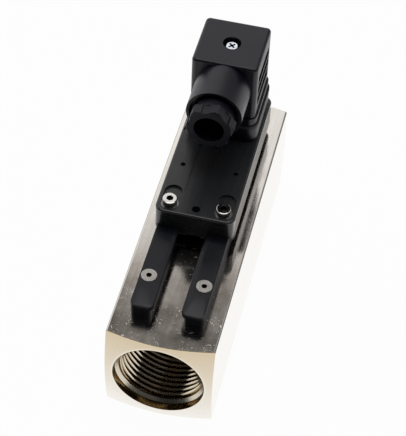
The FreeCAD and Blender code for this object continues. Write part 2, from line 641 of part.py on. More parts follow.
def float_piston():
    """Float with two guide lands, a waist and a pocket for magnet and spring."""
    body = new_body("float_piston", ("0", "0", FLOW_HEIGHT))
    front = FLOAT_FRONT
    rear = "(%s + float_length)" % front
    waist = "(%s - float_waist)" % FLOAT_RADIUS
    land_end = "(%s + float_nose + float_land)" % front
    section = new_sketch(body, "float_section", "YZ_Plane")
    outline(section, [(front, "0"), (front, "(%s - float_nose)" % FLOAT_RADIUS),
                      ("(%s + float_nose)" % front, FLOAT_RADIUS), (land_end, FLOAT_RADIUS),
                      ("(%s + float_waist)" % land_end, waist),
                      ("(%s - float_land - float_waist)" % rear, waist),
                      ("(%s - float_land)" % rear, FLOAT_RADIUS), (rear, FLOAT_RADIUS),
                      (rear, POCKET_RADIUS), ("(%s + float_floor)" % front, POCKET_RADIUS),
                      ("(%s + float_floor)" % front, "0")])
    revolve(body, "float_turned", section, "H_Axis")
    return body


def magnet_parts():
    """Ring magnet in the float and the washer between it and the spring."""
    place = ("0", "0", FLOW_HEIGHT)
    outer = "(%s - bore_gap)" % POCKET_RADIUS
    turned_ring("ring_magnet", place, "YZ_Plane", "H_Axis", MAGNET_FRONT,
                "(%s + magnet_length)" % MAGNET_FRONT, MAGNET_HOLE, outer)
    turned_ring("magnet_washer", place, "YZ_Plane", "H_Axis", WASHER_FRONT,
                "(%s + washer_thickness)" % WASHER_FRONT, MAGNET_HOLE, outer)


def return_spring():
    """Coil spring between the magnet washer and the spring seat."""
    length = "(%s - %s - 2 * spring_wire_radius)" % (SEAT_FRONT, SPRING_FRONT)
    helix = doc.addObject("Part::Helix", "spring_path")
    helix.setExpression("Radius", bound(SPRING_RADIUS))
    helix.setExpression("Height", bound(length))
    helix.setExpression("Pitch", bound("%s / spring_turns" % length))
    wire = doc.addObject("Part::RegularPolygon", "spring_wire")
    wire.Polygon = WIRE_SIDES
    wire.setExpression("Circumradius", bound("spring_wire_radius"))
    wire.Placement.Rotation = FreeCAD.Rotation(Vector(1, 0, 0), 90)
    wire.setExpression("Placement.Base.x", bound(SPRING_RADIUS))
    spring = doc.addObject("Part::Sweep", "return_spring")
    spring.Label = "return_spring"
    spring.Sections = [wire]
    spring.Spine = helix
    spring.Solid = True
    spring.Frenet = True
    spring.Placement.Rotation = FreeCAD.Rotation(Vector(1, 0, 0), -90)
    spring.setExpression("Placement.Base.y", bound("%s + spring_wire_radius" % SPRING_FRONT))
    spring.setExpression("Placement.Base.z", bound(FLOW_HEIGHT))
    return spring


def rail(label, side):
    """Rail with a narrow web, a wide flange and two countersunk holes; side is -1 or 1."""
    body = new_body(label, ("%s * rail_centre" % side, "0", "body_width"))
    half, reach = "(rail_width / 2)", "(%s / 2)" % RAIL_LENGTH
    web_half, web_reach = "(%s - rail_inset)" % half, "(%s - rail_inset)" % reach
    web = new_sketch(body, label + "_web_outline", "XY_Plane")
    rectangle(web, "-" + web_half, web_half, "-" + web_reach, web_reach)
    pad(body, label + "_web", web, "rail_height - rail_flange")
    large, small = "rail_corner", "rail_small_corner"
    flange = new_sketch(body, label + "_flange_outline", "XY_Plane", ("0", "0", "rail_height - rail_flange"))
    outline(flange, [
        ("-%s + %s" % (half, large), "-" + reach), ("%s - %s" % (half, small), "-" + reach),
        (half, "-%s + %s" % (reach, small)), (half, "%s - %s" % (reach, large)),
        ("%s - %s" % (half, large), reach), ("-%s + %s" % (half, small), reach),
        ("-" + half, "%s - %s" % (reach, small)), ("-" + half, "-%s + %s" % (reach, large))])
    pad(body, label + "_flange", flange, "rail_flange")
    across = "%s * (rail_screw_x - rail_centre)" % side
    bore = "(screw_radius + pass_gap)"
    cone = "(sunk_head_radius + sunk_gap)"
    for name, place in (("inlet", "-" + RAIL_SCREW_Y), ("outlet", RAIL_SCREW_Y)):
        hole = new_sketch(body, "%s_%s_hole_place" % (label, name), "XY_Plane", ("0", "0", "rail_height"))
        circle(hole, across, place, bore)
        pocket(body, "%s_%s_hole" % (label, name), hole, "rail_height")
        sink = new_sketch(body, "%s_%s_sink_section" % (label, name), "XZ_Plane",
                          (across, "0", "-1 * %s" % place))
        cone_end = "rail_height - %s + %s" % (cone, bore)
        outline(sink, [("0", "rail_height"), (cone, "rail_height"), (bore, cone_end), ("0", cone_end)])
        groove(body, "%s_%s_sink" % (label, name), sink, "V_Axis")
    return body


def rail_screws():
    """Four countersunk screws with hexagon sockets that hold the rails."""
    body = new_body("rail_screw")
    section = new_sketch(body, "rail_screw_section", "XZ_Plane")
    outline(section, [("0", "0"), ("sunk_head_radius", "0"),
                      ("screw_radius", "screw_radius - sunk_head_radius"),
                      ("screw_radius", "-rail_screw_length"), ("0", "-rail_screw_length")])
    revolve(body, "rail_screw_turned", section, "V_Axis")
    key = new_sketch(body, "rail_screw_key", "XY_Plane")
    hexagon(key, "key_flats")
    pocket(body, "rail_screw_socket", key, "key_depth")
    places = [(side + "rail_screw_x", end + RAIL_SCREW_Y, RAIL_TOP)
              for side in ("-", "") for end in ("-", "")]
    return copies("rail_screws", body, places)


def head_outline(body, name, level):
    """Outline of the switch head at a level, as a rectangle."""
    sketch = new_sketch(body, name, "XY_Plane", ("0", "0", level))
    return rectangle(sketch, "-(head_width / 2)", "(head_width / 2)", "head_front", HEAD_REAR)


def upright(edge):
    """Whether the edge is a straight upright one."""
    return along_axis(edge, Vector(0, 0, 1))


def at_level(level):
    """A test for edges that lie at a height or above it."""
    return lambda edge: edge.BoundBox.ZMin > level - LEVEL_MATCH


def sliding_base():
    """Lower half of the switch head: it rides on both rails and carries the reed contact in its keel."""
    body = new_body("sliding_base")
    skirt_end = "(%s - skirt_drop)" % RAIL_TOP
    plate = head_outline(body, "base_outline", skirt_end)
    pad(body, "base_slab", plate, "%s - %s" % (BASE_TOP, skirt_end))
    round_edges(body, "base_corners", upright, "head_corner")
    channel = new_sketch(body, "channel_outline", "XY_Plane", ("0", "0", skirt_end))
    edge = "(rail_centre + rail_width / 2 + guide_gap)"
    for side in ("-", ""):
        near, far = side + "keel_half", side + edge
        left, right = (far, near) if side else (near, far)
        rectangle(channel, left, right, "head_front - overrun", "%s + overrun" % HEAD_REAR)
    pocket(body, "channels", channel, "skirt_drop + slide_gap", reverse=True)
    keel = new_sketch(body, "keel_outline", "XY_Plane", ("0", "0", "%s + slide_gap" % RAIL_TOP))
    rectangle(keel, "-keel_half", "keel_half", "keel_front", "%s - keel_setback" % HEAD_REAR)
    pad(body, "keel", keel, "keel_depth + slide_gap", reverse=True)
    bay = new_sketch(body, "board_pocket_outline", "XY_Plane", ("0", "0", BASE_TOP))
    rectangle(bay, "-board_pocket_half", "board_pocket_half", "board_pocket_front", "board_pocket_rear")
    pocket(body, "board_pocket", bay, "%s - %s" % (BASE_TOP, BOARD_FLOOR))
    legs = new_sketch(body, "jaw_slot_outline", "XY_Plane", ("0", "0", BASE_TOP))
    for side in ("-", ""):
        near, far = side + "(jaw_inner - jaw_gap)", side + "(keel_half + jaw_gap)"
        left, right = (far, near) if side else (near, far)
        rectangle(legs, left, right, JAW_POCKET_FRONT, JAW_POCKET_REAR)
    pocket(body, "jaw_slots", legs, "%s - %s" % (BASE_TOP, skirt_end))
    return body


def switch_housing():
    """Upper half of the switch head, hollow, with clamp recesses, sunk panel and connector opening."""
    body = new_body("switch_housing")
    slab = head_outline(body, "housing_outline", BASE_TOP)
    pad(body, "housing_slab", slab, "housing_height")
    round_edges(body, "housing_corners", upright, "head_corner")
    top = amount(HOUSING_TOP)
    round_edges(body, "housing_top_edge", at_level(top), "top_edge_radius")
    hollow = new_sketch(body, "housing_hollow_outline", "XY_Plane", ("0", "0", BASE_TOP))
    rectangle(hollow, "-(head_width / 2 - housing_wall)", "head_width / 2 - housing_wall",
              "cavity_front", "%s - housing_wall" % HEAD_REAR)
    pocket(body, "housing_hollow", hollow, "housing_height - housing_roof", reverse=True)
    jaws = new_sketch(body, "jaw_pocket_outline", "XY_Plane", ("0", "0", BASE_TOP))
    for side in ("-", ""):
        near, far = side + "(jaw_inner - jaw_gap)", side + "(jaw_outer + jaw_gap)"
        left, right = (far, near) if side else (near, far)
        rectangle(jaws, left, right, JAW_POCKET_FRONT, JAW_POCKET_REAR)
    jaw_room = "%s + jaw_arm + jaw_gap - %s" % (JAW_ARM_BOTTOM, BASE_TOP)
    pocket(body, "jaw_pockets", jaws, jaw_room, reverse=True)
    panel = new_sketch(body, "panel_outline", "XY_Plane", ("0", "0", HOUSING_TOP))
    rectangle(panel, "-panel_half", "panel_half", "panel_front", "plug_y - base_half")
    pocket(body, "panel", panel, "panel_depth")
    for name, side in (("left", "-"), ("right", "")):
        recess = new_sketch(body, name + "_recess_outline", "XY_Plane", ("0", "0", HOUSING_TOP))
        obround(recess, side + "clamp_x", "clamp_y", "clamp_y + recess_reach", "recess_radius")
        pocket(body, name + "_recess", recess, "recess_depth")
    clamps = new_sketch(body, "clamp_hole_places", "XY_Plane", ("0", "0", HOUSING_TOP))
    pins = new_sketch(body, "pin_hole_places", "XY_Plane", ("0", "0", HOUSING_TOP))
    for side in ("-", ""):
        circle(clamps, side + "clamp_x", "clamp_y", "screw_radius + pass_gap")
        circle(pins, side + "pin_hole_x", "pin_hole_y", "pin_hole_radius")
    pocket(body, "clamp_holes", clamps, "housing_height")
    pocket(body, "pin_holes", pins, "pin_hole_depth")
    front = new_sketch(body, "front_hole_place", "XY_Plane", ("0", "0", HOUSING_TOP))
    circle(front, "0", "front_hole_y", "front_hole_radius")
    pocket(body, "front_hole", front, "front_hole_depth")
    opening = new_sketch(body, "connector_opening_outline", "XY_Plane", ("0", "0", HOUSING_TOP))
    rectangle(opening, "-base_hollow_half", "base_hollow_half",
              "plug_y - base_hollow_half", "plug_y + base_hollow_half")
    pocket(body, "connector_opening", opening, "housing_height")
    return body


def clamp_screw(label, side):
    """Socket-head screw that draws the jaw up under the rail; side is -1 or 1."""
    body = new_body(label, ("%s * clamp_x" % side, "clamp_y", "%s + clamp_washer_thickness" % RECESS_FLOOR))
    section = new_sketch(body, label + "_section", "XZ_Plane")
    outline(section, [("0", "-clamp_screw_length"), ("screw_radius", "-clamp_screw_length"),
                      ("screw_radius", "0"), ("cap_head_radius", "0"), ("cap_head_radius", "cap_head_height"),
                      ("0", "cap_head_height")])
    revolve(body, label + "_turned", section, "V_Axis")
    key = new_sketch(body, label + "_key", "XY_Plane", ("0", "0", "cap_head_height"))
    hexagon(key, "cap_key_flats")
    pocket(body, label + "_socket", key, "cap_key_depth")
    return body


def clamp_washers():
    """The two washers under the clamp screws."""
    washer = turned_ring("clamp_washer", ("0", "0", "0"), "XZ_Plane", "V_Axis", "0", "clamp_washer_thickness",
                         "screw_radius + pass_gap", "clamp_washer_radius")
    places = [(side + "clamp_x", "clamp_y", RECESS_FLOOR) for side in ("-", "")]
    return copies("clamp_washers", washer, places)


def clamp_jaw(label, side):
    """Jaw with an arm on the screw and a toe under the inner edge of the rail flange."""
    body = new_body(label, ("0", "clamp_y", "0"))
    toe = "(rail_centre - rail_width / 2 + jaw_toe)"
    toe_top = "(%s + jaw_toe_height)" % JAW_BOTTOM
    arm_top = "(%s + jaw_arm)" % JAW_ARM_BOTTOM
    places = [("jaw_inner", JAW_BOTTOM), (toe, JAW_BOTTOM), (toe, toe_top), ("jaw_leg_outer", toe_top),
              ("jaw_leg_outer", JAW_ARM_BOTTOM), ("jaw_outer", JAW_ARM_BOTTOM), ("jaw_outer", arm_top),
              ("jaw_inner", arm_top)]
    section = new_sketch(body, label + "_section", "XZ_Plane")
    outline(section, [("%s * %s" % (side, across), level) for across, level in places])
    pad(body, label + "_bar", section, "jaw_length", symmetric=True)
    hole = new_sketch(body, label + "_hole_place", "XY_Plane", ("0", "0", arm_top))
    circle(hole, "%s * clamp_x" % side, "0", "screw_radius + thread_gap")
    pocket(body, label + "_hole", hole, "jaw_arm")
    return body


def reed_contact():
    """Circuit board, glass reed contact and its two bent leads in the keel."""
    board_top = "(%s + board_thickness)" % BOARD_FLOOR
    middle = "((board_pocket_front + board_pocket_rear) / 2)"
    board = new_body("reed_board")
    plan = new_sketch(board, "board_outline", "XY_Plane", ("0", "0", BOARD_FLOOR))
    rectangle(plan, "-(board_width / 2)", "(board_width / 2)",
              "%s - board_length / 2" % middle, "%s + board_length / 2" % middle)
    pad(board, "board_slab", plan, "board_thickness")
    axis = "(%s + face_gap + reed_radius)" % board_top
    rear = "(reed_front + reed_length)"
    glass = new_body("reed_glass", ("0", "0", axis))
    section = new_sketch(glass, "glass_section", "YZ_Plane")
    shoulder = "(reed_radius - reed_shoulder)"
    outline(section, [("reed_front", "0"), ("reed_front", shoulder),
                      ("reed_front + reed_shoulder", "reed_radius"),
                      ("%s - reed_shoulder" % rear, "reed_radius"), (rear, shoulder), (rear, "0")])
    revolve(glass, "glass_turned", section, "H_Axis")
    leads = new_body("reed_leads", ("0", "0", axis))
    leads.AllowCompound = True
    shape = new_sketch(leads, "lead_outlines", "YZ_Plane")
    foot = "-(face_gap + reed_radius)"
    for end, sense in (("reed_front", "-"), (rear, "+")):
        far = "(%s %s lead_reach)" % (end, sense)
        near = "(%s %s (lead_reach - 2 * lead_radius))" % (end, sense)
        outline(shape, [(end, "lead_radius"), (far, "lead_radius"), (far, foot), (near, foot),
                        (near, "-lead_radius"), (end, "-lead_radius")])
    pad(leads, "leads", shape, "2 * lead_radius", symmetric=True)


def bent_tube(points, bend, radius):
    """A round tube along straight runs joined by arcs of one bend radius."""
    edges = []
    start = points[0]
    for before, corner, after in zip(points, points[1:], points[2:]):
        back = (before - corner).normalize()
        on = (after - corner).normalize()
        turn = back.getAngle(on)
        reach = bend / math.tan(turn / 2)
        first, last = corner + back * reach, corner + on * reach
        inward = (back + on).normalize()
        middle = corner + inward * (bend / math.sin(turn / 2) - bend)
        edges.append(Part.LineSegment(start, first).toShape())
        edges.append(Part.Arc(first, middle, last).toShape())
        start = last
    edges.append(Part.LineSegment(start, points[-1]).toShape())
    heading = (points[1] - points[0]).normalize()
    section = Part.Wire([Part.makeCircle(radius, points[0], heading)])
    return Part.Wire(edges).makePipeShell([section], True, True)


def lead_wires():
    """Three wires from the circuit board up to the tails of the contact blades."""
    board_top = amount("%s + board_thickness" % BOARD_FLOOR)
    rise = amount("%s + wire_rise" % BASE_TOP)
    tail = amount("%s - blade_tail" % CONNECTOR_TOP)
    spacing, start = amount("wire_spacing"), amount("wire_start")
    centre, place = amount("plug_y"), amount("blade_radius_place")
    ends = [(-place, centre), (0.0, centre + place), (place, centre)]
    tubes = []
    for number, (across, along) in enumerate(ends):
        foot = (number - 1) * spacing
        route = [Vector(foot, start, board_top), Vector(foot, start, rise), Vector(across, along, rise),
                 Vector(across, along, tail)]
        tubes.append(bent_tube(route, amount("wire_bend"), amount("wire_radius")))
    wires = doc.addObject("Part::Feature", "lead_wires")
    wires.Label = "lead_wires"
    wires.Shape = Part.makeCompound(tubes)
    return wires


def square(sketch, half):
    """A square about the sketch's origin."""
    return rectangle(sketch, "-" + half, half, "-" + half, half)


def connector_base():
    """Base block on the housing, with a contact tongue, four blade slots and a threaded insert."""
    body = new_body("connector_base", ("0", "plug_y", "0"))
    block = new_sketch(body, "connector_block_outline", "XY_Plane", ("0", "0", HOUSING_TOP))
    square(block, "base_half")
    pad(body, "connector_block", block, "base_height")
    round_edges(body, "connector_block_corners", upright, "base_corner")
    tongue = new_sketch(body, "tongue_outline", "XY_Plane", ("0", "0", CONNECTOR_TOP))
    square(tongue, "tongue_half")
    pad(body, "tongue", tongue, "tongue_height")
    hollow = new_sketch(body, "connector_hollow_outline", "XY_Plane", ("0", "0", HOUSING_TOP))
    square(hollow, "base_hollow_half")
    circle(hollow, "0", "0", "column_radius")
    pocket(body, "connector_hollow", hollow, "base_height - base_top", reverse=True)
    bore = new_sketch(body, "insert_bore_place", "XY_Plane", ("0", "0", HOUSING_TOP))
    circle(bore, "0", "0", "insert_radius + bore_gap")
    pocket(body, "insert_bore", bore, "base_height - insert_cover", reverse=True)
    hole = new_sketch(body, "centre_hole_place", "XY_Plane", ("0", "0", TONGUE_TOP))
    circle(hole, "0", "0", "screw_radius + pass_gap")
    pocket(body, "centre_hole", hole, "tongue_height + insert_cover")
    slot = new_sketch(body, "blade_slot_outline", "XY_Plane", ("0", "0", TONGUE_TOP))
    thick = "(blade_thickness / 2 + blade_gap)"
    wide = "(blade_width / 2 + blade_gap)"
    rectangle(slot, "blade_radius_place - " + thick, "blade_radius_place + " + thick, "-" + wide, wide)
    cut = pocket(body, "blade_slot", slot, "tongue_height + base_top")
    around_axis(body, "blade_slots", cut, "Z_Axis", BLADE_COUNT)
    return body


def blade_copies(label, source, level):
    """Copies of a piece about the plug's upright axis, one for each blade."""
    group = copies(label, source, [("0", "plug_y", level)] * BLADE_COUNT)
    for number, link in enumerate(group.Links):
        link.Placement.Rotation = FreeCAD.Rotation(Vector(0, 0, 1), 360 / BLADE_COUNT * number)
    doc.recompute()
    return group


def contact_blades():
    """Four flat contact blades through the tongue."""
    blade = new_body("contact_blade")
    plan = new_sketch(blade, "blade_outline", "XY_Plane", ("0", "0", "-blade_tail"))
    rectangle(plan, "blade_radius_place - blade_thickness / 2", "blade_radius_place + blade_thickness / 2",
              "-(blade_width / 2)", "(blade_width / 2)")
    pad(blade, "blade_slab", plan, "blade_tail + blade_tip")
    return blade_copies("contact_blades", blade, CONNECTOR_TOP)


def threaded_insert():
    """Brass insert that the centre screw bites in."""
    top = "(%s - insert_cover)" % CONNECTOR_TOP
    return turned_ring("threaded_insert", ("0", "plug_y", "0"), "XZ_Plane", "V_Axis",
                       "%s - insert_length" % top, top, "screw_radius + thread_gap", "insert_radius")


def plug_gasket():
    """Flat gasket between connector base and plug."""
    body = new_body("plug_gasket", ("0", "plug_y", "0"))
    plan = new_sketch(body, "gasket_outline", "XY_Plane", ("0", "0", CONNECTOR_TOP))
    square(plan, "(base_half + gasket_lap)")
    pad(body, "gasket_slab", plan, "gasket_thickness")
    round_edges(body, "gasket_corners", upright, "base_corner")
    window = new_sketch(body, "gasket_window_outline", "XY_Plane", ("0", "0", PLUG_BOTTOM))
    square(window, "gasket_window_half")
    pocket(body, "gasket_window", window, "gasket_thickness")
    return body


def plug_housing():
    """Plug shell: a skirt, a square block with grooved sides, a screw well and a round gland boss."""
    body = new_body("plug_housing", ("0", "plug_y", "0"))
    block = new_sketch(body, "plug_block_outline", "XY_Plane", ("0", "0", PLUG_BOTTOM))
    square(block, "plug_half")
    pad(body, "plug_block", block, "plug_height")
    round_edges(body, "plug_corners", upright, "plug_corner")
    top = amount(PLUG_TOP)
    round_edges(body, "plug_top_edge", at_level(top), "plug_edge")
    skirt = new_sketch(body, "plug_skirt_outline", "XY_Plane", ("0", "0", PLUG_BOTTOM))
    square(skirt, "skirt_half")
    pad(body, "plug_skirt", skirt, "skirt_height")
    reach = amount("skirt_half")

    def skirt_corner(edge):
        centre = edge.BoundBox.Center
        across, along = abs(centre.x) - reach, abs(centre.y) - reach
        return upright(edge) and abs(across) < LEVEL_MATCH and abs(along) < LEVEL_MATCH

    round_edges(body, "plug_skirt_corners", skirt_corner, "skirt_corner")
    boss_length = "(gland_boss_reach - plug_half + plug_corner)"
    boss = new_sketch(body, "gland_boss_outline", "XZ_Plane", ("0", "0", "gland_boss_reach"))
    circle(boss, "0", GLAND_AXIS, "gland_boss_radius")
    pad(body, "gland_boss", boss, boss_length, reverse=True)
    bay = new_sketch(body, "block_bay_outline", "XY_Plane", ("0", "0", PLUG_BOTTOM))
    square(bay, "block_bay_half")
    pocket(body, "block_bay", bay, "block_bay_height", reverse=True)
    space = new_sketch(body, "wire_bay_outline", "XY_Plane", ("0", "0", BAY_TOP))
    square(space, "wire_bay_half")
    pocket(body, "wire_bay", space, "wire_bay_height", reverse=True)
    gland = [("gland_mouth_radius", "gland_mouth_depth"),
             ("gland_thread_radius + bore_gap", "gland_mouth_depth + gland_thread_depth"),
             ("gland_pocket_radius", "gland_mouth_depth + gland_thread_depth + gland_pocket_depth"),
             ("gland_bore_radius", "gland_boss_reach - wire_bay_half + overrun")]
    for number, (radius, depth) in enumerate(gland, start=1):
        step = new_sketch(body, "gland_bore_%d_place" % number, "XZ_Plane", ("0", "0", "gland_boss_reach"))
        circle(step, "0", GLAND_AXIS, radius)
        pocket(body, "gland_bore_%d" % number, step, depth)
    well = new_sketch(body, "screw_well_place", "XY_Plane", ("0", "0", PLUG_TOP))
    circle(well, "0", "0", "well_radius")
    pocket(body, "screw_well", well, "well_depth")
    hole = new_sketch(body, "plug_screw_hole_place", "XY_Plane", ("0", "0", PLUG_TOP))
    circle(hole, "0", "0", "screw_radius + pass_gap")
    pocket(body, "plug_screw_hole", hole, "plug_height - block_bay_height")
    for name, side in (("left", "-"), ("right", "")):
        ribs = new_sketch(body, name + "_rib_outline", "YZ_Plane", ("0", "0", side + "plug_half"))
        first = "(%s + skirt_height + rib_groove)" % PLUG_BOTTOM
        for number in range(GROOVE_COUNT):
            low = "(%s + %d * rib_pitch)" % (first, number)
            rectangle(ribs, "-rib_reach", "rib_reach", low, "%s + rib_groove" % low)
        pocket(body, name + "_ribs", ribs, "rib_depth", reverse=bool(side))
    return body


def terminal_block():
    """Block that holds the four terminal sockets inside the plug."""
    floor = "(%s - terminal_height)" % BAY_TOP
    body = new_body("terminal_block", ("0", "plug_y", "0"))
    plan = new_sketch(body, "terminal_block_outline", "XY_Plane", ("0", "0", floor))
    square(plan, "terminal_half")
    circle(plan, "0", "0", "screw_radius + pass_gap")
    pad(body, "terminal_slab", plan, "terminal_height")
    bay = new_sketch(body, "socket_bay_outline", "XY_Plane", ("0", "0", BAY_TOP))
    half = "(socket_width / 2 + socket_gap)"
    rectangle(bay, "socket_inner - socket_gap", "socket_outer + socket_gap", "-" + half, half)
    cut = pocket(body, "socket_bay", bay, "terminal_height - terminal_floor")
    around_axis(body, "socket_bays", cut, "Z_Axis", BLADE_COUNT)
    slot = new_sketch(body, "socket_slot_outline", "XY_Plane", ("0", "0", BAY_TOP))
    thick = "(blade_thickness / 2 + 2 * socket_slot_gap)"
    wide = "(blade_width / 2 + 2 * socket_slot_gap)"
    rectangle(slot, "blade_radius_place - " + thick, "blade_radius_place + " + thick, "-" + wide, wide)
    cut = pocket(body, "socket_slot", slot, "terminal_height")
    around_axis(body, "socket_slots", cut, "Z_Axis", BLADE_COUNT)
    return body


def terminal_sockets():
    """Four sockets, each with a slot for a blade and a thread for its screw."""
    socket = new_body("terminal_socket")
    height = "(terminal_height - terminal_floor - 2 * face_gap)"
    plan = new_sketch(socket, "socket_outline", "XY_Plane", ("0", "0", "-" + height))
    rectangle(plan, "socket_inner", "socket_outer", "-(socket_width / 2)", "(socket_width / 2)")
    pad(socket, "socket_slab", plan, height)
    slot = new_sketch(socket, "blade_way_outline", "XY_Plane", ("0", "0", "-" + height))
    thick = "(blade_thickness / 2 + socket_slot_gap)"
    wide = "(blade_width / 2 + socket_slot_gap)"
    rectangle(slot, "blade_radius_place - " + thick, "blade_radius_place + " + thick, "-" + wide, wide)
    pocket(socket, "blade_way", slot, "blade_tip", reverse=True)
    hole = new_sketch(socket, "terminal_thread_place", "XY_Plane")
    circle(hole, "terminal_screw_place", "0", "terminal_screw_radius + thread_gap")
    pocket(socket, "terminal_thread", hole, "terminal_screw_length + tip_gap")
    return blade_copies("terminal_sockets", socket, "%s - face_gap" % BAY_TOP)


def terminal_screws():
    """Four slotted screws on the terminal sockets."""
    screw = new_body("terminal_screw")
    section = new_sketch(screw, "terminal_screw_section", "XZ_Plane", ("terminal_screw_place", "0", "0"))
    outline(section, [("0", "-terminal_screw_length"), ("terminal_screw_radius", "-terminal_screw_length"),
                      ("terminal_screw_radius", "0"), ("terminal_head_radius", "0"),
                      ("terminal_head_radius", "terminal_head_height"), ("0", "terminal_head_height")])
    revolve(screw, "terminal_screw_turned", section, "V_Axis")
    slot = new_sketch(screw, "terminal_slot_outline", "XY_Plane", ("0", "0", "terminal_head_height"))
    rectangle(slot, "terminal_screw_place - cross_width / 2", "terminal_screw_place + cross_width / 2",
              "-(terminal_head_radius + overrun)", "terminal_head_radius + overrun")
    pocket(screw, "terminal_slot", slot, "terminal_head_height / 2")
    return blade_copies("terminal_screws", screw, BAY_TOP)


def centre_screw():
    """Pan-head screw with a cross recess that holds the plug, and its sealing washer."""
    body = new_body("centre_screw", ("0", "plug_y", "%s + centre_washer_thickness" % WELL_FLOOR))
    section = new_sketch(body, "centre_screw_section", "XZ_Plane")
    outline(section, [("0", "-centre_screw_length"), ("screw_radius", "-centre_screw_length"),
                      ("screw_radius", "0"), ("centre_head_radius", "0"),
                      ("centre_head_radius", "centre_head_height"), ("0", "centre_head_height")])
    revolve(body, "centre_screw_turned", section, "V_Axis")
    top = amount("centre_head_height")
    round_edges(body, "centre_head_edge", at_level(top), "centre_head_height / 2")
    cross = new_sketch(body, "cross_outline", "XY_Plane", ("0", "0", "centre_head_height"))
    near, far = "(cross_width / 2)", "(cross_length / 2)"
    outline(cross, [(far, near), (near, near), (near, far), ("-" + near, far), ("-" + near, near),
                    ("-" + far, near), ("-" + far, "-" + near), ("-" + near, "-" + near),
                    ("-" + near, "-" + far), (near, "-" + far), (near, "-" + near), (far, "-" + near)])
    pocket(body, "cross_recess", cross, "cross_depth")
    washer_top = "%s + centre_washer_thickness" % WELL_FLOOR
    turned_ring("centre_screw_washer", ("0", "plug_y", "0"), "XZ_Plane", "V_Axis", WELL_FLOOR, washer_top,
                "screw_radius + pass_gap", "centre_washer_radius")


def gland_nut():
    """Hexagon gland nut with a notch in each flat and a threaded shank."""
    body = new_body("gland_nut", ("0", NUT_FRONT, GLAND_AXIS))
    body.Placement.Rotation = FreeCAD.Rotation(Vector(0, 1, 0), -amount("nut_roll"))
    body.setExpression("Placement.Rotation.Angle", bound("-nut_roll"))
    head = new_sketch(body, "nut_outline", "XZ_Plane")
    hexagon(head, "nut_flats")
    pad(body, "nut_head_slab", head, "nut_head", reverse=True)
    shank = new_sketch(body, "nut_shank_outline", "XZ_Plane", ("0", "0", "-nut_head"))
    circle(shank, "0", "0", "gland_thread_radius")
    shank_length = "%s - face_gap - %s - nut_head" % (THRUST_FRONT, NUT_FRONT)
    pad(body, "nut_shank", shank, shank_length, reverse=True)
    bevel = new_sketch(body, "nut_bevel_section", "YZ_Plane")
    edge = "(nut_flats / 2)"
    outside = "%s + 2 * nut_bevel" % edge
    outline(bevel, [("0", edge), ("0", outside), ("nut_bevel", outside)])
    groove(body, "nut_bevel_cut", bevel, "H_Axis")
    bore = new_sketch(body, "nut_bore_place", "XZ_Plane")
    circle(bore, "0", "0", "nut_bore_radius")
    pocket(body, "nut_bore", bore, "through")
    notch = new_sketch(body, "nut_notch_outline", "XZ_Plane")
    rectangle(notch, "-(nut_notch_width / 2)", "(nut_notch_width / 2)",
              "%s - nut_notch_depth" % edge, "%s + nut_bevel" % edge)
    cut = pocket(body, "nut_notch", notch, "nut_head")
    around_axis(body, "nut_notches", cut, "Y_Axis", NUT_SIDES)
    return body


def gland_rings():
    """Thrust ring and cable seal behind the gland nut."""
    place = ("0", "0", GLAND_AXIS)
    thrust_rear = "(%s + thrust_thickness)" % THRUST_FRONT
    turned_ring("thrust_ring", place, "YZ_Plane", "H_Axis", THRUST_FRONT, thrust_rear,
                "thrust_bore_radius", "thrust_radius")
    turned_ring("cable_seal", place, "YZ_Plane", "H_Axis", "%s + face_gap" % thrust_rear, SEAL_END,
                "seal_bore_radius", "seal_radius")


pipe_body()
slotted_nozzle()
nozzle_o_ring()
retaining_ring()
spring_seat()
float_piston()
magnet_parts()
return_spring()
rail("rail_left", "-1")
rail("rail_right", "1")
rail_screws()
sliding_base()
switch_housing()
clamp_screw("clamp_screw_left", "-1")
clamp_screw("clamp_screw_right", "1")
clamp_washers()
clamp_jaw("clamp_jaw_left", "-1")
clamp_jaw("clamp_jaw_right", "1")
reed_contact()
lead_wires()
connector_base()
contact_blades()
threaded_insert()
plug_gasket()
plug_housing()
terminal_block()
terminal_sockets()
terminal_screws()
centre_screw()
gland_nut()
gland_rings()
doc.recompute()

NODES = ["body", "slotted_nozzle", "nozzle_o_ring", "retaining_ring", "spring_seat", "float_piston",
         "ring_magnet", "magnet_washer", "return_spring", "rail_left", "rail_right", "rail_screws",
         "sliding_base", "switch_housing", "clamp_screw_left", "clamp_screw_right", "clamp_washers",
         "clamp_jaw_left", "clamp_jaw_right", "reed_board", "reed_glass", "reed_leads", "lead_wires",
         "connector_base", "contact_blades", "threaded_insert", "plug_gasket", "plug_housing",
         "terminal_block", "terminal_sockets", "terminal_screws", "centre_screw", "centre_screw_washer",
         "gland_nut", "thrust_ring", "cable_seal"]

for item in doc.Objects:
    if "Invalid" in item.State or "Error" in item.State:
        raise RuntimeError("%s has failed: %s" % (item.Label, item.State))

os.makedirs("parts", exist_ok=True)
for label in NODES:
    piece = doc.getObjectsByLabel(label)[0]
    if piece.Shape.isNull() or not piece.Shape.isValid():
        raise RuntimeError("%s has no valid shape" % label)
    piece.Shape.exportStep("parts/%s.step" % label)
    box = piece.Shape.BoundBox
    print("%-20s %d solids %9.1f mm3  X %6.2f %6.2f  Y %6.2f %6.2f  Z %6.2f %6.2f" % (
        label, len(piece.Shape.Solids), piece.Shape.Volume, box.XMin, box.XMax, box.YMin, box.YMax,
        box.ZMin, box.ZMax))
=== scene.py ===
"""Looks of the variable area flow switch: a Blender add-on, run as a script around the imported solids."""

import json
import math

import bpy
from bpy.props import FloatProperty, FloatVectorProperty, IntProperty, PointerProperty
from bpy.types import Operator, Panel, PropertyGroup
from mathutils import Matrix, Vector


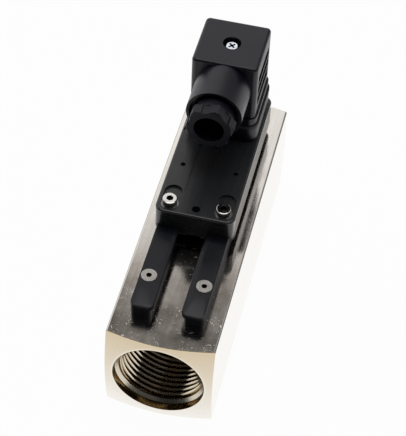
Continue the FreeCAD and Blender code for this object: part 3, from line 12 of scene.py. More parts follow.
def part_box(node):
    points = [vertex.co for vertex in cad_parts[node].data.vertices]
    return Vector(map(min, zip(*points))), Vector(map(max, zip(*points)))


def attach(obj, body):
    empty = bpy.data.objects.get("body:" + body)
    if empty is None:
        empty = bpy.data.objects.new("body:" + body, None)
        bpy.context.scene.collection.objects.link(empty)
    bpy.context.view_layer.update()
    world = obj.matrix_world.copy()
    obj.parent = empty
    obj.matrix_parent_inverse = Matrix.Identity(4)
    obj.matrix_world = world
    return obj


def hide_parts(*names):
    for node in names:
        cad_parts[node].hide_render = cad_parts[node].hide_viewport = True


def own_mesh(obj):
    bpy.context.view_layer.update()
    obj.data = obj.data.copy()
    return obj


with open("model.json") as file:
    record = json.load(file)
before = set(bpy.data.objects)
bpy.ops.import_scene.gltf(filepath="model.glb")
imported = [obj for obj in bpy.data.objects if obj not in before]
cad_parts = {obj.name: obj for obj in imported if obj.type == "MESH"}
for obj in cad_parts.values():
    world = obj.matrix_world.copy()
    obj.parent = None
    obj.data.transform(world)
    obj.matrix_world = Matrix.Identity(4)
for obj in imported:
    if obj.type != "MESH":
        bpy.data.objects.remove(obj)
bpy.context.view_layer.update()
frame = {"nodes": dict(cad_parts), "record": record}

bl_info = {
    "name": "Flow Switch Looks",
    "version": (1, 0, 0),
    "blender": (4, 5, 0),
    "location": "View3D > Sidebar > Flow Switch",
    "description": "Threads, fasteners, finishes and studio of a variable area flow switch",
    "category": "Object",
}

MM = 0.001
TINY = 0.001 * MM
LOW, HIGH = 2, 3             # the numbers that a Mix node goes between
FROM, TO = 6, 7              # the colours that a Mix node goes between
MIXED = 2                    # its colour output

PIPE_LOW, PIPE_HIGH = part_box("body")
SPRING_LOW, SPRING_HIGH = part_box("return_spring")
FLOW_HEIGHT = (SPRING_LOW.z + SPRING_HIGH.z) / 2
RAISE_TO_FLOW = Matrix.Translation((0, 0, FLOW_HEIGHT))
MOUTH_RADIUS = 17.55 * MM    # just outside the counterbore of the ports
HIGHLIGHT_RING_RADIUS = 18.2 * MM      # painted highlight ring on the end faces, round the mouth
EDGE_WIDTH = 0.35 * MM       # deburred edges of the body, painted dark as their reflection
PORT_SCALE = 20.0 * MM       # distance from the flow axis at the end of the port's colour ramp
# Distance from the flow axis in mm, and the port's colour there: painted shade in the bore, darkest in the
# roots, with a painted highlight on the crests.
PORT_SHADE_LEVELS = ((14.0, "port"), (15.14, "crest"), (15.4, "crest"), (15.8, "port"), (16.64, "root"),
               (17.0, "root"), (17.44, "mouth"))
WORN_LENGTH = 50.0 * MM      # how far back from the front face the plate has more specks
# Turns of the scratches on the plate, in radians, each with the noise level above which they are cut.
SCRATCHES = ((0.5, 0.76), (-1.1, 0.77), (2.0, 0.78))
SCRATCH_SIZE = (0.35 * MM, 5.0 * MM, 0.35 * MM)

SUNK_HEAD = 3.0 * MM         # radius of the rail screws' heads
SINK_X, SINK_Y, SINK_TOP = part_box("rail_screws")[1] - Vector((SUNK_HEAD, SUNK_HEAD, 0.0))
SINK_KEY = 1.25 * MM         # radius round the rail screws' sockets
CLAMP_HEAD = 2.75 * MM       # radius of the clamp screws' heads
CLAMP_X, CLAMP_Y, CLAMP_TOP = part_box("clamp_screw_right")[1] - Vector((CLAMP_HEAD, CLAMP_HEAD, 0.0))
CLAMP_KEY = 1.5 * MM         # radius round the clamp screws' sockets
KEY_RIM = 0.25 * MM          # bright rim of a socket, above the painted shade in its depth
CENTRE_LOW, CENTRE_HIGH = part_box("centre_screw")
CENTRE_X, CENTRE_Y = (CENTRE_LOW.x + CENTRE_HIGH.x) / 2, (CENTRE_LOW.y + CENTRE_HIGH.y) / 2
CENTRE_HEAD = 1.7 * MM       # height of the centre screw's head in the solids, from its seat
CROSS_KEY = 1.9 * MM         # radius round the centre screw's cross recess
CROSS_RISE = 0.47 * MM       # where the painted shade in the recess begins, above the top of the plain solid's head
CROSS_TAPER = 0.75           # size of the recess at its bottom against its mouth
SCREW_CRISP = 20             # degrees; edges that are sharper stay crisp on a screw's bevelled rim

# The room that the plate mirrors, by parts of a direction, whose length is 1.
WALL_TOP = 0.742             # upward part at which the pale walls end
CEILING = 0.82               # upward part at which the even ceiling begins
# Upward part and light in between: the warm top of the wall, a dark edge and a paler strip.
CEILING_EDGE = ((0.752, (0.8, 0.77, 0.74)), (0.762, (0.2, 0.175, 0.16)), (0.772, (0.1, 0.09, 0.08)),
                (0.782, (0.05, 0.046, 0.043)), (0.795, (0.14, 0.13, 0.12)))
DARK_FRONT, LIT_FRONT = -0.35, 0.1       # rearward parts where the dark camera side and the walls begin
DOOR_EDGE, DOOR = 0.02, 0.09             # right times rearward part where the corner dims, and is dimmest
FLOOR_SIZE = 6.0
PAPER = 0.9                  # shade of the floor as light falls on it
FLOOR_WHITE = 0.97           # share of plain white in the floor as it is seen; the rest keeps the shadow
LAMP_PLACE = Vector((0.0, 0.1, 0.9))
LAMP_SIZE = 0.7
SENSOR = 36.0                # height of the camera's sensor in mm
CAMERA_PLACE = (0.08367, -0.41071, 0.49578)
CAMERA_RIGHT = (0.97197, 0.23288, 0.03218)
CAMERA_UP = (-0.19297, 0.71217, 0.67497)
CAMERA_BACK = (0.13426, -0.66226, 0.73715)


def linear(hex_colour):
    """Linear red, green and blue of an sRGB hex value."""
    channels = [int(hex_colour[place:place + 2], 16) / 255 for place in (0, 2, 4)]
    return [c / 12.92 if c <= 0.04045 else ((c + 0.055) / 1.055) ** 2.4 for c in channels]


def length(name, description, millimetres):
    """A size that a user can change, in metres."""
    return FloatProperty(name=name, description=description, default=millimetres * MM, min=0.0,
                         subtype="DISTANCE", unit="LENGTH", precision=5)


def tint(name, description, hex_colour):
    """A colour that a user can change."""
    return FloatVectorProperty(name=name, description=description, default=linear(hex_colour),
                               subtype="COLOR", size=3, min=0.0, max=1.0)


class FlowSwitchSizes(PropertyGroup):
    """Sizes of the pieces that are added to the solids."""
    thread_pitch: length("Thread pitch", "Distance from crest to crest of the port threads", 2.309)
    thread_root: length("Thread root radius", "Radius at the foot of the thread ridge", 17.05)
    thread_crest: length("Thread crest radius", "Radius at the top of the thread ridge", 15.145)
    thread_start: length("Thread start", "Distance from the port's face to the first thread", 4.3)
    thread_length: length("Thread length", "Length of thread in each port", 21.2)
    chamfer_depth: length("Chamfer depth", "Distance from the port's face to its chamfer", 3.1)
    chamfer_radius: length("Chamfer radius", "Outer radius of that chamfer", 17.5)
    chamfer_size: length("Chamfer size", "Width and length of that chamfer", 1.2)
    wire_radius: length("Spring wire radius", "Radius of the return spring's wire", 0.45)
    spring_radius: length("Spring radius", "Mean radius of the return spring", 6.2)
    spring_turns: IntProperty(name="Spring turns", description="Turns of the spring", default=8, min=1)
    rail_flange: length("Rail flange", "Thickness of the rails' flange", 2.0)
    rail_inset: length("Rail web inset", "How far the web stands back on the side of the clamp jaws", 0.9)
    rail_ledge: length("Rail ledge", "How far the web stands back on its other sides", 0.1)
    flange_round: length("Flange corners", "Rounding of the flange's corners", 2.1)
    web_round: length("Web corners", "Rounding of the web's corners", 2.2)
    rail_rim: length("Rail rim", "Rounding of the rails' top edge", 0.3)
    hole_gap: length("Screw clearance", "Clearance of the rail screws in their holes", 0.15)
    head_radius: length("Plug screw head radius", "Pan head of the screw in the plug", 2.4)
    head_height: length("Plug screw head height", "Height of that head", 2.2)
    head_round: length("Plug screw head rim", "Rounding of that head's rim", 0.3)
    cross_length: length("Cross length", "Length of its cross recess over two wings", 3.4)
    cross_width: length("Cross width", "Width of one wing", 0.9)
    cross_depth: length("Cross depth", "Depth of the cross recess", 1.3)
    cap_height: length("Cap head height", "Height of the clamp screws' heads", 3.0)
    cap_bevel: length("Cap head rim", "Bevel of their rims", 0.22)
    key_flats: length("Key flats", "Hexagon socket of the clamp screws across flats", 2.5)
    key_depth: length("Key depth", "Depth of that socket", 1.8)
    screw_pitch: length("Screw pitch", "Pitch of the screws' threads", 0.5)
    screw_crest: length("Screw crest radius", "Radius at the top of the screws' threads", 1.45)
    threaded: length("Threaded length", "Length of thread on a screw", 12.0)


class FlowSwitchColours(PropertyGroup):
    """Colours of the finishes."""
    nickel: tint("Nickel plate", "Polished plate on top of the body", "F1ECE5")
    # Painted light: the pale plate is a lighter copy of the nickel plate, for the sides, the low end faces
    # and the ring round each mouth.
    painted_light_plate: tint("Pale plate", "Plate on the sides and low on the turned end faces", "FBF8F2")
    # Painted shade: the end faces turn darker and warmer towards the top; the same colour, darker still,
    # paints the deburred edges.
    painted_shade_plate: tint("Warm plate", "Painted shade at the top of the turned end faces and on the deburred edges", "D9C9AC")
    # Port colours: painted shade in the bore, darkest in the thread roots, and a painted highlight on the
    # thread crests.
    port: tint("Port", "Brass in the ports, darkened as painted shade", "9C8660")
    mouth: tint("Port mouth", "Counterbore of a port, brown in its shade", "9A8258")
    root: tint("Thread root", "Oil and dirt in the roots of the threads", "3E301B")
    crest: tint("Thread crest", "Bright crests of the ports' threads, and their chamfers", "E6DDCB")
    brass: tint("Brass", "Bare turned brass of the inner parts", "D8B878")
    steel: tint("Stainless steel", "Rail screws and other small parts", "C9C6C1")
    bright_steel: tint("Bright stainless steel", "Heads of the clamp screws", "E4E1DC")
    zinc: tint("Zinc plate", "Bright screw in the plug", "EEF3FA")
    dark_steel: tint("Dark steel", "Clamp jaws, washers and spring wire", "8F8E8C")
    rail: tint("Rail plastic", "Moulded rails", "0E1018")
    housing: tint("Housing plastic", "Moulded housing and base of the switch head", "2A2B2D")
    connector: tint("Connector plastic", "Moulded plug, nut and terminal base", "0E0E1B")
    rubber: tint("Rubber", "Seals and gaskets", "151515")


class FlowSwitchStudio(PropertyGroup):
    """Camera and light of the studio."""
    lens: FloatProperty(name="Lens", description="Focal length on a 36 mm high sensor", default=131.47,
                        unit="CAMERA")
    wall_light: FloatProperty(name="Walls", description="Brightness of the pale walls", default=1.0)
    ceiling_light: FloatProperty(name="Ceiling", description="Brightness of the ceiling", default=0.06)
    front_light: FloatProperty(name="Front", description="Share of the wall light on the camera's side",
                               default=0.07)
    doorway_light: FloatProperty(name="Doorway", default=0.35,
                                 description="Share of the wall light in the right rear corner")
    lamp_power: FloatProperty(name="Top lamp", description="Power of the soft lamp overhead", default=3.0,
                              subtype="POWER", unit="POWER")


def add(tree, kind, inputs=None, **settings):
    """A new shader node with its settings. Its inputs, by name or number, are values, sockets, or nodes,
    whose first output is taken."""
    node = tree.nodes.new("ShaderNode" + kind)
    for key, value in settings.items():
        setattr(node, key, value)
    for key, value in (inputs or {}).items():
        if isinstance(value, bpy.types.Node):
            value = value.outputs[0]
        if isinstance(value, bpy.types.NodeSocket):
            tree.links.new(value, node.inputs[key])
        else:
            node.inputs[key].default_value = value
    return node


def empty_tree(owner):
    """The node tree of a new material or world, with nothing in it."""
    owner.use_nodes = True
    owner.node_tree.nodes.clear()
    return owner.node_tree


def new_material(name):
    """A material, its node tree and the place on the object, which its patterns follow."""
    material = bpy.data.materials.new(name)
    tree = empty_tree(material)
    return material, tree, add(tree, "TexCoord").outputs["Object"]


def rgba(colour, share=1.0):
    """A colour made darker or lighter by that share, with full alpha."""
    return (*(channel * share for channel in colour), 1.0)


def fill_ramp(ramp, levels):
    """Puts the colours of a ramp at their places."""
    while len(ramp.elements) < len(levels):
        ramp.elements.new(1.0)
    for element, (place, colour) in zip(ramp.elements, levels):
        element.position = place
        element.color = rgba(colour)


def finish_material(material, inputs, shader="BsdfPrincipled"):
    """Adds the shader with its inputs and joins it to the material's output."""
    tree = material.node_tree
    add(tree, "OutputMaterial", {"Surface": add(tree, shader, inputs)})
    return material


def per_metre(millimetres):
    """Scale of a pattern whose spots are that far apart."""
    return 1 / (millimetres * MM)


def streaks(width, long):
    """Scale of a pattern of streaks along the flow, of that width and length in millimetres."""
    return per_metre(width), per_metre(long), per_metre(width)


def port_radius(tree, spot):
    """Distance of a point from the axis of the flow, which both ports are turned about."""
    level = add(tree, "Math", {0: spot.outputs["Z"], 1: FLOW_HEIGHT}, operation="SUBTRACT")
    off_axis = add(tree, "CombineXYZ", {"X": spot.outputs["X"], "Y": level})
    return add(tree, "VectorMath", {0: off_axis}, operation="LENGTH").outputs["Value"]


def plate_colour(tree, place, spot, sides, radius, colours):
    """Plate outside the ports: darker and warmer towards the top of the end faces as painted shade, a
    painted highlight ring round each mouth, painted light on the sides, painted dark edges and milling
    streaks along the top."""
    on_end, on_side = sides
    lit_plate, warm = rgba(colours.painted_light_plate), rgba(colours.painted_shade_plate)
    # Painted shade: the end faces turn darker and warmer towards the top, and lighter at the bottom.
    height = add(tree, "MapRange", {0: spot.outputs["Z"], "From Min": 0.0, "From Max": PIPE_HIGH.z})
    end = add(tree, "Mix", {0: height, FROM: lit_plate, TO: warm}, data_type="RGBA")
    # Painted highlight: a paler ring on the end faces round each mouth.
    ring = add(tree, "Math", {0: radius, 1: HIGHLIGHT_RING_RADIUS}, operation="LESS_THAN")
    bright = add(tree, "Math", {0: ring, 1: 0.4}, operation="MULTIPLY")
    ring_highlighted = add(tree, "Mix", {0: bright, FROM: end.outputs[MIXED], TO: lit_plate}, data_type="RGBA")
    mill = add(tree, "Mapping", {"Vector": place, "Scale": streaks(2.5, 60.0)})
    streak = add(tree, "TexNoise", {"Vector": mill, "Scale": 1.0, "Detail": 4.0, "Roughness": 0.65})
    depth = add(tree, "MapRange", {0: streak, "From Min": 0.3, "From Max": 0.7})
    top = add(tree, "Mix", {0: depth, FROM: rgba(colours.nickel, 0.8), TO: rgba(colours.nickel)},
              data_type="RGBA")
    # Painted light: the sides take the lighter copy of the plate.
    flats = add(tree, "Mix", {0: on_side, FROM: top.outputs[MIXED], TO: lit_plate}, data_type="RGBA")
    plate = add(tree, "Mix", {0: on_end, FROM: flats.outputs[MIXED], TO: ring_highlighted.outputs[MIXED]},
                data_type="RGBA")
    # Painted reflection: the deburred edges are darkened with the shaded plate colour.
    edge = painted_dark_edges(tree, spot, sides)
    return add(tree, "Mix", {0: edge, FROM: plate.outputs[MIXED], TO: rgba(colours.painted_shade_plate, 0.3)},
               data_type="RGBA").outputs[MIXED]


def painted_dark_edges(tree, spot, sides):
    """Narrow deburred edges, painted dark as their reflection: along the top, and where the end faces meet
    it.
    """
    on_end, on_side = sides
    across = add(tree, "Math", {0: spot.outputs["X"]}, operation="ABSOLUTE")
    along = add(tree, "Math", {0: across, 1: PIPE_HIGH.x - EDGE_WIDTH}, operation="GREATER_THAN")
    away = add(tree, "Math", {0: on_side, 1: on_end}, operation="ADD")
    flat = add(tree, "Math", {0: 1.0, 1: away}, operation="SUBTRACT", use_clamp=True)
    sharp = add(tree, "Math", {0: along, 1: flat}, operation="MULTIPLY")
    high = add(tree, "Math", {0: spot.outputs["Z"], 1: PIPE_HIGH.z - EDGE_WIDTH}, operation="GREATER_THAN")
    ending = add(tree, "Math", {0: high, 1: on_end}, operation="MULTIPLY")
    return add(tree, "Math", {0: sharp, 1: ending}, operation="MAXIMUM")


def painted_port_shade(tree, radius, colours):
    """Brass by its distance from the axis, in painted light and shade: highlighted crests, dark roots and a
    brown mouth.
    """
    share = add(tree, "Math", {0: radius, 1: PORT_SCALE}, operation="DIVIDE")
    ramp = add(tree, "ValToRGB", {0: share})
    fill_ramp(ramp.color_ramp, [(reach * MM / PORT_SCALE, getattr(colours, name))
                                for reach, name in PORT_SHADE_LEVELS])
    return ramp


def plate_gloss(tree, place, spot, smear):
    """Roughness of the plate: nearly a mirror, with dry specks and fine scratches, thicker in front."""
    clean, smeared, dry = 0.08, 0.15, 0.4
    gloss = add(tree, "MapRange", {0: smear, "From Min": 0.35, "From Max": 0.7, "To Min": clean,
                                   "To Max": smeared})
    speck = add(tree, "TexVoronoi", {"Vector": place, "Scale": per_metre(1.1), "Randomness": 1.0})
    patch = add(tree, "TexNoise", {"Vector": place, "Scale": per_metre(8.0), "Detail": 2.0})
    worn = add(tree, "MapRange", {0: spot.outputs["Y"], "From Min": PIPE_LOW.y, "To Min": 0.13,
                                  "From Max": PIPE_LOW.y + WORN_LENGTH, "To Max": 0.0})
    often = add(tree, "Math", {0: patch, 1: worn}, operation="ADD")
    size = add(tree, "MapRange", {0: often, "From Min": 0.52, "From Max": 0.78, "To Max": 0.26})
    marks = add(tree, "Math", {0: speck, 1: size}, operation="LESS_THAN")
    for turn, limit in SCRATCHES:
        line = add(tree, "Mapping", {"Vector": place, "Rotation": (0.0, 0.0, turn), "Scale": SCRATCH_SIZE},
                   vector_type="TEXTURE")
        scratch = add(tree, "TexNoise", {"Vector": line, "Scale": 1.0, "Detail": 1.0})
        cut = add(tree, "Math", {0: scratch, 1: limit}, operation="GREATER_THAN")
        marks = add(tree, "Math", {0: marks, 1: cut}, operation="MAXIMUM")
    return add(tree, "Mix", {0: marks, LOW: gloss, HIGH: dry})


def nickel_plate(colours):
    """Nickel plate on milled brass: mirror bright, so that it shows the room, with hairlines, slow waves in
    the flats, smears and dry specks; inside the ports its colour is painted shade, with painted highlights
    on the crests."""
    material, tree, place = new_material("Nickel plate on milled brass")
    spot = add(tree, "SeparateXYZ", {0: place})
    turned = add(tree, "SeparateXYZ", {0: place.node.outputs["Normal"]})
    end = add(tree, "Math", {0: turned.outputs["Y"]}, operation="ABSOLUTE")
    side = add(tree, "Math", {0: turned.outputs["X"]}, operation="ABSOLUTE")
    sides = (add(tree, "MapRange", {0: end, "From Min": 0.55, "From Max": 0.75}),
             add(tree, "MapRange", {0: side, "From Min": 0.6, "From Max": 0.9}))
    radius = port_radius(tree, spot)
    in_port = add(tree, "Math", {0: radius, 1: MOUTH_RADIUS}, operation="LESS_THAN")
    plate = plate_colour(tree, place, spot, sides, radius, colours)
    colour = add(tree, "Mix", {0: in_port, FROM: plate, TO: painted_port_shade(tree, radius, colours)},
                 data_type="RGBA")
    smear = add(tree, "TexNoise", {"Vector": place, "Scale": per_metre(11.0), "Detail": 6.0,
                                   "Roughness": 0.6})
    dull = add(tree, "Mix", {0: smear, FROM: (0.9, 0.89, 0.88, 1), TO: (1, 1, 1, 1)},
               data_type="RGBA")
    shade = add(tree, "Mix", {0: 1.0, FROM: colour.outputs[MIXED], TO: dull.outputs[MIXED]},
                data_type="RGBA", blend_type="MULTIPLY")
    rough = plate_gloss(tree, place, spot, smear)
    grain = add(tree, "Mapping", {"Vector": place, "Scale": streaks(0.45, 11.0)})
    hairline = add(tree, "TexNoise", {"Vector": grain, "Scale": 1.0, "Detail": 3.0})
    wave = add(tree, "TexNoise", {"Vector": place, "Scale": per_metre(13.0), "Detail": 2.0})
    still = add(tree, "Math", {0: 1.0, 1: in_port}, operation="SUBTRACT")
    waves = add(tree, "Bump", {"Height": wave, "Strength": still, "Distance": 0.02 * MM})
    lines = add(tree, "Bump", {"Height": hairline, "Strength": 0.06, "Distance": 0.1 * MM,
                               "Normal": waves})
    return finish_material(material, {"Base Color": shade.outputs[MIXED], "Metallic": 1.0,
                                      "Roughness": rough, "Normal": lines})


def socket_shade_mask(tree, place, socket):
    """1 inside the sockets of screws that lie evenly about both middle planes, where the painted shade
    goes, and 0 elsewhere.
    """
    x, y, reach, level = socket
    spot = add(tree, "SeparateXYZ", {0: place})
    across = add(tree, "Math", {0: spot.outputs["X"]}, operation="ABSOLUTE")
    along = add(tree, "Math", {0: spot.outputs["Y"]}, operation="ABSOLUTE")
    off = add(tree, "CombineXYZ", {"X": across, "Y": along})
    away = add(tree, "VectorMath", {0: off, 1: (x, y, 0.0)}, operation="DISTANCE")
    near = add(tree, "Math", {0: away.outputs["Value"], 1: reach}, operation="LESS_THAN")
    deep = add(tree, "Math", {0: spot.outputs["Z"], 1: level}, operation="LESS_THAN")
    return add(tree, "Math", {0: near, 1: deep}, operation="MULTIPLY")


def metal(name, colour, roughness, line_mm, depth=0.08, lay=(1.0, 1.0, 1.0), socket=None):
    """Bare or plated metal with tool lines that break up the gloss, and slow patches of a darker shade. The
    lines run across the directions that lay stretches: one number of three is a turned piece's rings. A
    socket, given as x, y, radius and level, is painted dark as shade below that level, and made dull."""
    material, tree, place = new_material(name)
    tool = add(tree, "Mapping", {"Vector": place, "Scale": [part * per_metre(line_mm) for part in lay]})
    line = add(tree, "TexNoise", {"Vector": tool, "Scale": 1.0, "Detail": 4.0})
    patch = add(tree, "TexNoise", {"Vector": place, "Scale": per_metre(4.0), "Detail": 3.0})
    shade = add(tree, "Mix", {0: patch, FROM: rgba(colour, 0.8), TO: rgba(colour)},
                data_type="RGBA")
    rough = add(tree, "MapRange", {0: line, "To Min": roughness * 0.7,
                                   "To Max": roughness * 1.4})
    if socket:
        # Painted shade: the socket's depth is darkened to 6 % of the metal's colour.
        inside = socket_shade_mask(tree, place, socket)
        shade = add(tree, "Mix", {0: inside, FROM: shade.outputs[MIXED], TO: rgba(colour, 0.06)},
                    data_type="RGBA")
        rough = add(tree, "Mix", {0: inside, LOW: rough, HIGH: 0.5})
    bump = add(tree, "Bump", {"Height": line, "Strength": depth, "Distance": 0.1 * MM})
    return finish_material(material, {"Base Color": shade.outputs[MIXED], "Metallic": 1.0,
                                      "Roughness": rough, "Normal": bump})


def melt(tree, place, colour, grain_mm, brightest):
    """The tool's spark-eroded grain, and slow patches, also of shade, where the melt met the wall."""
    grain = add(tree, "TexNoise", {"Vector": place, "Scale": per_metre(grain_mm), "Detail": 2.0})
    patch = add(tree, "TexNoise", {"Vector": place, "Scale": per_metre(8.0), "Detail": 4.0})
    shade = add(tree, "Mix", {0: patch, FROM: rgba(colour, 0.8), TO: rgba(colour, brightest)},
                data_type="RGBA")
    return grain, patch, shade.outputs[MIXED]


def moulded(name, colour, roughness, grain_mm, depth=0.25, ior=1.5, specular=0.5):
    """Moulded or pressed piece: a fine grain, with slow patches of more and less gloss."""
    material, tree, place = new_material(name)
    grain, patch, shade = melt(tree, place, colour, grain_mm, 1.15)
    rough = add(tree, "MapRange", {0: patch, "From Min": 0.3, "From Max": 0.7,
                                   "To Min": roughness * 0.88, "To Max": roughness * 1.12})
    bump = add(tree, "Bump", {"Height": grain, "Strength": depth, "Distance": 0.05 * MM})
    return finish_material(material, {"Base Color": shade, "Roughness": rough, "IOR": ior,
                                      "Specular IOR Level": specular, "Normal": bump})


def housing_plastic(colours):
    """Glass-filled polyamide, moulded: a fine grain on top, and draw-polished side walls that shine, with
    faint draw marks along the head."""
    material, tree, place = new_material("Polyamide moulded with polished sides")
    turned = add(tree, "SeparateXYZ", {0: place.node.outputs["Normal"]})
    across = add(tree, "Math", {0: turned.outputs["X"]}, operation="ABSOLUTE")
    on_side = add(tree, "MapRange", {0: across, "From Min": 0.75, "From Max": 0.97})
    grain, _, shade = melt(tree, place, colours.housing, 0.3, 1.2)
    drawn = add(tree, "Mapping", {"Vector": place, "Scale": streaks(1.6, 40.0)})
    mark = add(tree, "TexNoise", {"Vector": drawn, "Scale": 1.0, "Detail": 3.0})
    gloss = add(tree, "MapRange", {0: mark, "From Min": 0.3, "From Max": 0.7,
                                   "To Min": 0.21, "To Max": 0.29})
    rough = add(tree, "Mix", {0: on_side, LOW: gloss, HIGH: 0.08})
    calm = add(tree, "MapRange", {0: on_side, "To Min": 0.25, "To Max": 0.03})
    bump = add(tree, "Bump", {"Height": grain, "Strength": calm, "Distance": 0.05 * MM})
    return finish_material(material, {"Base Color": shade, "Roughness": rough, "IOR": 1.54,
                                      "Coat Weight": on_side, "Coat Roughness": 0.06, "Normal": bump})


def laminate(name, mask_colour, weave_mm):
    """Epoxy glass board under solder mask: the cloth's weave shows as a faint square pattern."""
    material, tree, place = new_material(name)
    threads = []
    for direction in ("X", "Y"):
        wave = add(tree, "TexWave", {"Vector": place, "Scale": per_metre(weave_mm) / 20, "Distortion": 0.4},
                   bands_direction=direction)
        threads.append(wave.outputs["Fac"])
    weave = add(tree, "Math", {0: threads[0], 1: threads[1]}, operation="MULTIPLY")
    shade = add(tree, "Mix", {0: weave, FROM: rgba(mask_colour, 0.75), TO: rgba(mask_colour)},
                data_type="RGBA")
    rough = add(tree, "MapRange", {0: weave, "To Min": 0.24, "To Max": 0.34})
    bump = add(tree, "Bump", {"Height": weave, "Strength": 0.2, "Distance": 0.03 * MM})
    return finish_material(material, {"Base Color": shade.outputs[MIXED], "Roughness": rough,
                                      "IOR": 1.55, "Normal": bump})


def drawn_glass(name, colour):
    """Drawn glass tube: clear and smooth, with a faint ripple along the draw that shows at its edges."""
    material, tree, place = new_material(name)
    wave = add(tree, "TexNoise", {"Vector": place, "Scale": per_metre(2.5)})
    rough = add(tree, "MapRange", {0: wave, "To Min": 0.0, "To Max": 0.06})
    return finish_material(material, {"Base Color": rgba(colour), "Roughness": rough,
                                      "IOR": 1.5, "Transmission Weight": 1.0})


FINISHES = {}
# Nodes whose finish differs from their slot's: the same metal or plastic, made another way.
NODE_FINISHES = {"rail_screws": "sunk_screw", "clamp_washers": "dark_washer", "gland_nut": "nut_plastic",
                 "thrust_ring": "nut_plastic"}
ALONG_FLOW = (0.0, 1.0, 0.0)       # lay of a piece that is turned about the flow axis
UPRIGHT = (0.3, 0.3, 1.0)          # lay of a piece that is turned about Z, softened by tumbling


def make_materials(colours):
    """Every finish by the record's slot name, or by the name that NODE_FINISHES gives."""
    FINISHES.update({
        "nickel_plated_brass": nickel_plate(colours),
        # Turned brass shows fine rings round the flow axis that stretch its highlights.
        "turned_brass": metal("Brass turned", colours.brass, 0.22, 0.3, 0.12, ALONG_FLOW),
        # Drawn wire is smooth and grey, with a soft shine.
        "spring_steel": metal("Spring steel drawn", colours.dark_steel, 0.22, 0.3),
        # Headed and tumbled screws and washers are satin.
        "stainless_steel": metal("Stainless steel headed and tumbled", colours.steel, 0.22, 0.5,
                                 lay=UPRIGHT),
        # The chamfer in each mouth is cut after plating: bare, with a satin shine and fine rings.
        "bright_chamfer": metal("Brass turned bright", colours.crest, 0.24, 0.4, 0.05, ALONG_FLOW),
        # The rail screws are satin too, apart from their sockets, which are painted dark as shade and dull.
        "sunk_screw": metal("Stainless steel headed with socket", colours.steel, 0.22, 0.5, 0.08, UPRIGHT,
                            (SINK_X, SINK_Y, SINK_KEY, SINK_TOP - KEY_RIM)),
        # The clamp screws' heads are turned bright: a mirror, white on one side and dark on the other.
        # Their hexagon sockets are painted dark as shade.
        "bright_screw": metal("Stainless steel turned bright", colours.bright_steel, 0.07, 0.4, 0.05,
                              UPRIGHT, (CLAMP_X, abs(CLAMP_Y), CLAMP_KEY, CLAMP_TOP - KEY_RIM)),
        # Punched washers are grey and uneven, with a soft shine.
        "dark_washer": metal("Stainless steel punched", colours.dark_steel, 0.3, 0.4, 0.1),
        # Zinc plate under clear chromate is bluish white and bright, apart from the cross recess, painted
        # dark as shade and dull.
        "zinc_plated_steel": metal("Steel zinc plated", colours.zinc, 0.16, 0.4, 0.06, UPRIGHT,
                                   (CENTRE_X, CENTRE_Y, CROSS_KEY, CENTRE_HIGH.z + CROSS_RISE)),
        # Stamped jaws: dull grey, roughened all over by the tumbler.
        "jaw_steel": metal("Steel stamped and tumbled", colours.dark_steel, 0.35, 0.4, 0.12),
        # Rails: matt black, the darkest plastic here.
        "rail_plastic": moulded("Polyacetal moulded matt", colours.rail, 0.3, 0.35, specular=0.35),
        "housing_plastic": housing_plastic(colours),
        # Plug and base: a coarser grain, drawn as coarse as it needs to show.
        "connector_plastic": moulded("Polyamide moulded with grain", colours.connector, 0.37, 0.5, 0.5,
                                     specular=0.45),
        # Nut and thrust ring: the same plastic from a smoother tool, less shiny and darker.
        "nut_plastic": moulded("Polyamide moulded fine", colours.connector, 0.42, 0.3, 0.3, specular=0.3),
        # Terminal block: mid grey and matt.
        "terminal_plastic": moulded("Polyamide moulded grey", linear("5A5A5E"), 0.5, 0.3),
        # Seals and gaskets: deep black with hardly any shine.
        "black_rubber": moulded("Nitrile rubber pressed", colours.rubber, 0.65, 0.5, ior=1.52),
        # Sintered ferrite: dull grey-black with a mineral grain.
        "ferrite": moulded("Ferrite sintered", linear("3A3A3D"), 0.5, 0.4, 0.4, ior=2.4),
        # Circuit board: satin green lacquer over the woven glass.
        "circuit_board": laminate("Epoxy glass laminate lacquered", linear("2F6B45"), 0.5),
        # Reed contact: clear glass with a faint green tinge.
        "reed_glass": drawn_glass("Glass drawn", linear("E7F9F1")),
        # Tin plate is silvery and a little cloudy.
        "tinned_metal": metal("Brass tin plated", linear("C9C9C5"), 0.3, 0.3),
        # Extruded insulation: smooth and waxy.
        "wire_insulation": moulded("Polyvinyl chloride extruded", linear("8C2A20"), 0.45, 0.5, 0.1),
    })


def dress(piece, finish):
    """Gives a piece that finish, and nothing else."""
    piece.data.materials.clear()
    piece.data.materials.append(FINISHES[finish])


def only(piece):
    """Selects that piece alone and makes it active."""
    bpy.ops.object.select_all(action="DESELECT")
    piece.select_set(True)
    bpy.context.view_layer.objects.active = piece


def start_piece(adder, **settings):
    """Runs an operator that adds a primitive, with nothing else selected, and returns the new object."""
    bpy.ops.object.select_all(action="DESELECT")
    adder(**settings)
    return bpy.context.active_object


def apply_place():
    """Puts the place, turn and scale of the selected piece in its mesh."""
    bpy.ops.object.transform_apply(location=True, rotation=True, scale=True)


def apply_modifier(piece, kind, **settings):
    """Adds a modifier with its settings and applies it."""
    only(piece)
    modifier = piece.modifiers.new(kind.title(), kind)
    for key, value in settings.items():
        setattr(modifier, key, value)
    bpy.ops.object.modifier_apply(modifier=modifier.name)


def above(level):
    """Chooses the edges that lie at that height or higher."""
    return lambda first, second: min(first.z, second.z) > level - TINY


def below(level):
    """Chooses the edges that lie at that height or lower."""
    return lambda first, second: max(first.z, second.z) < level + TINY


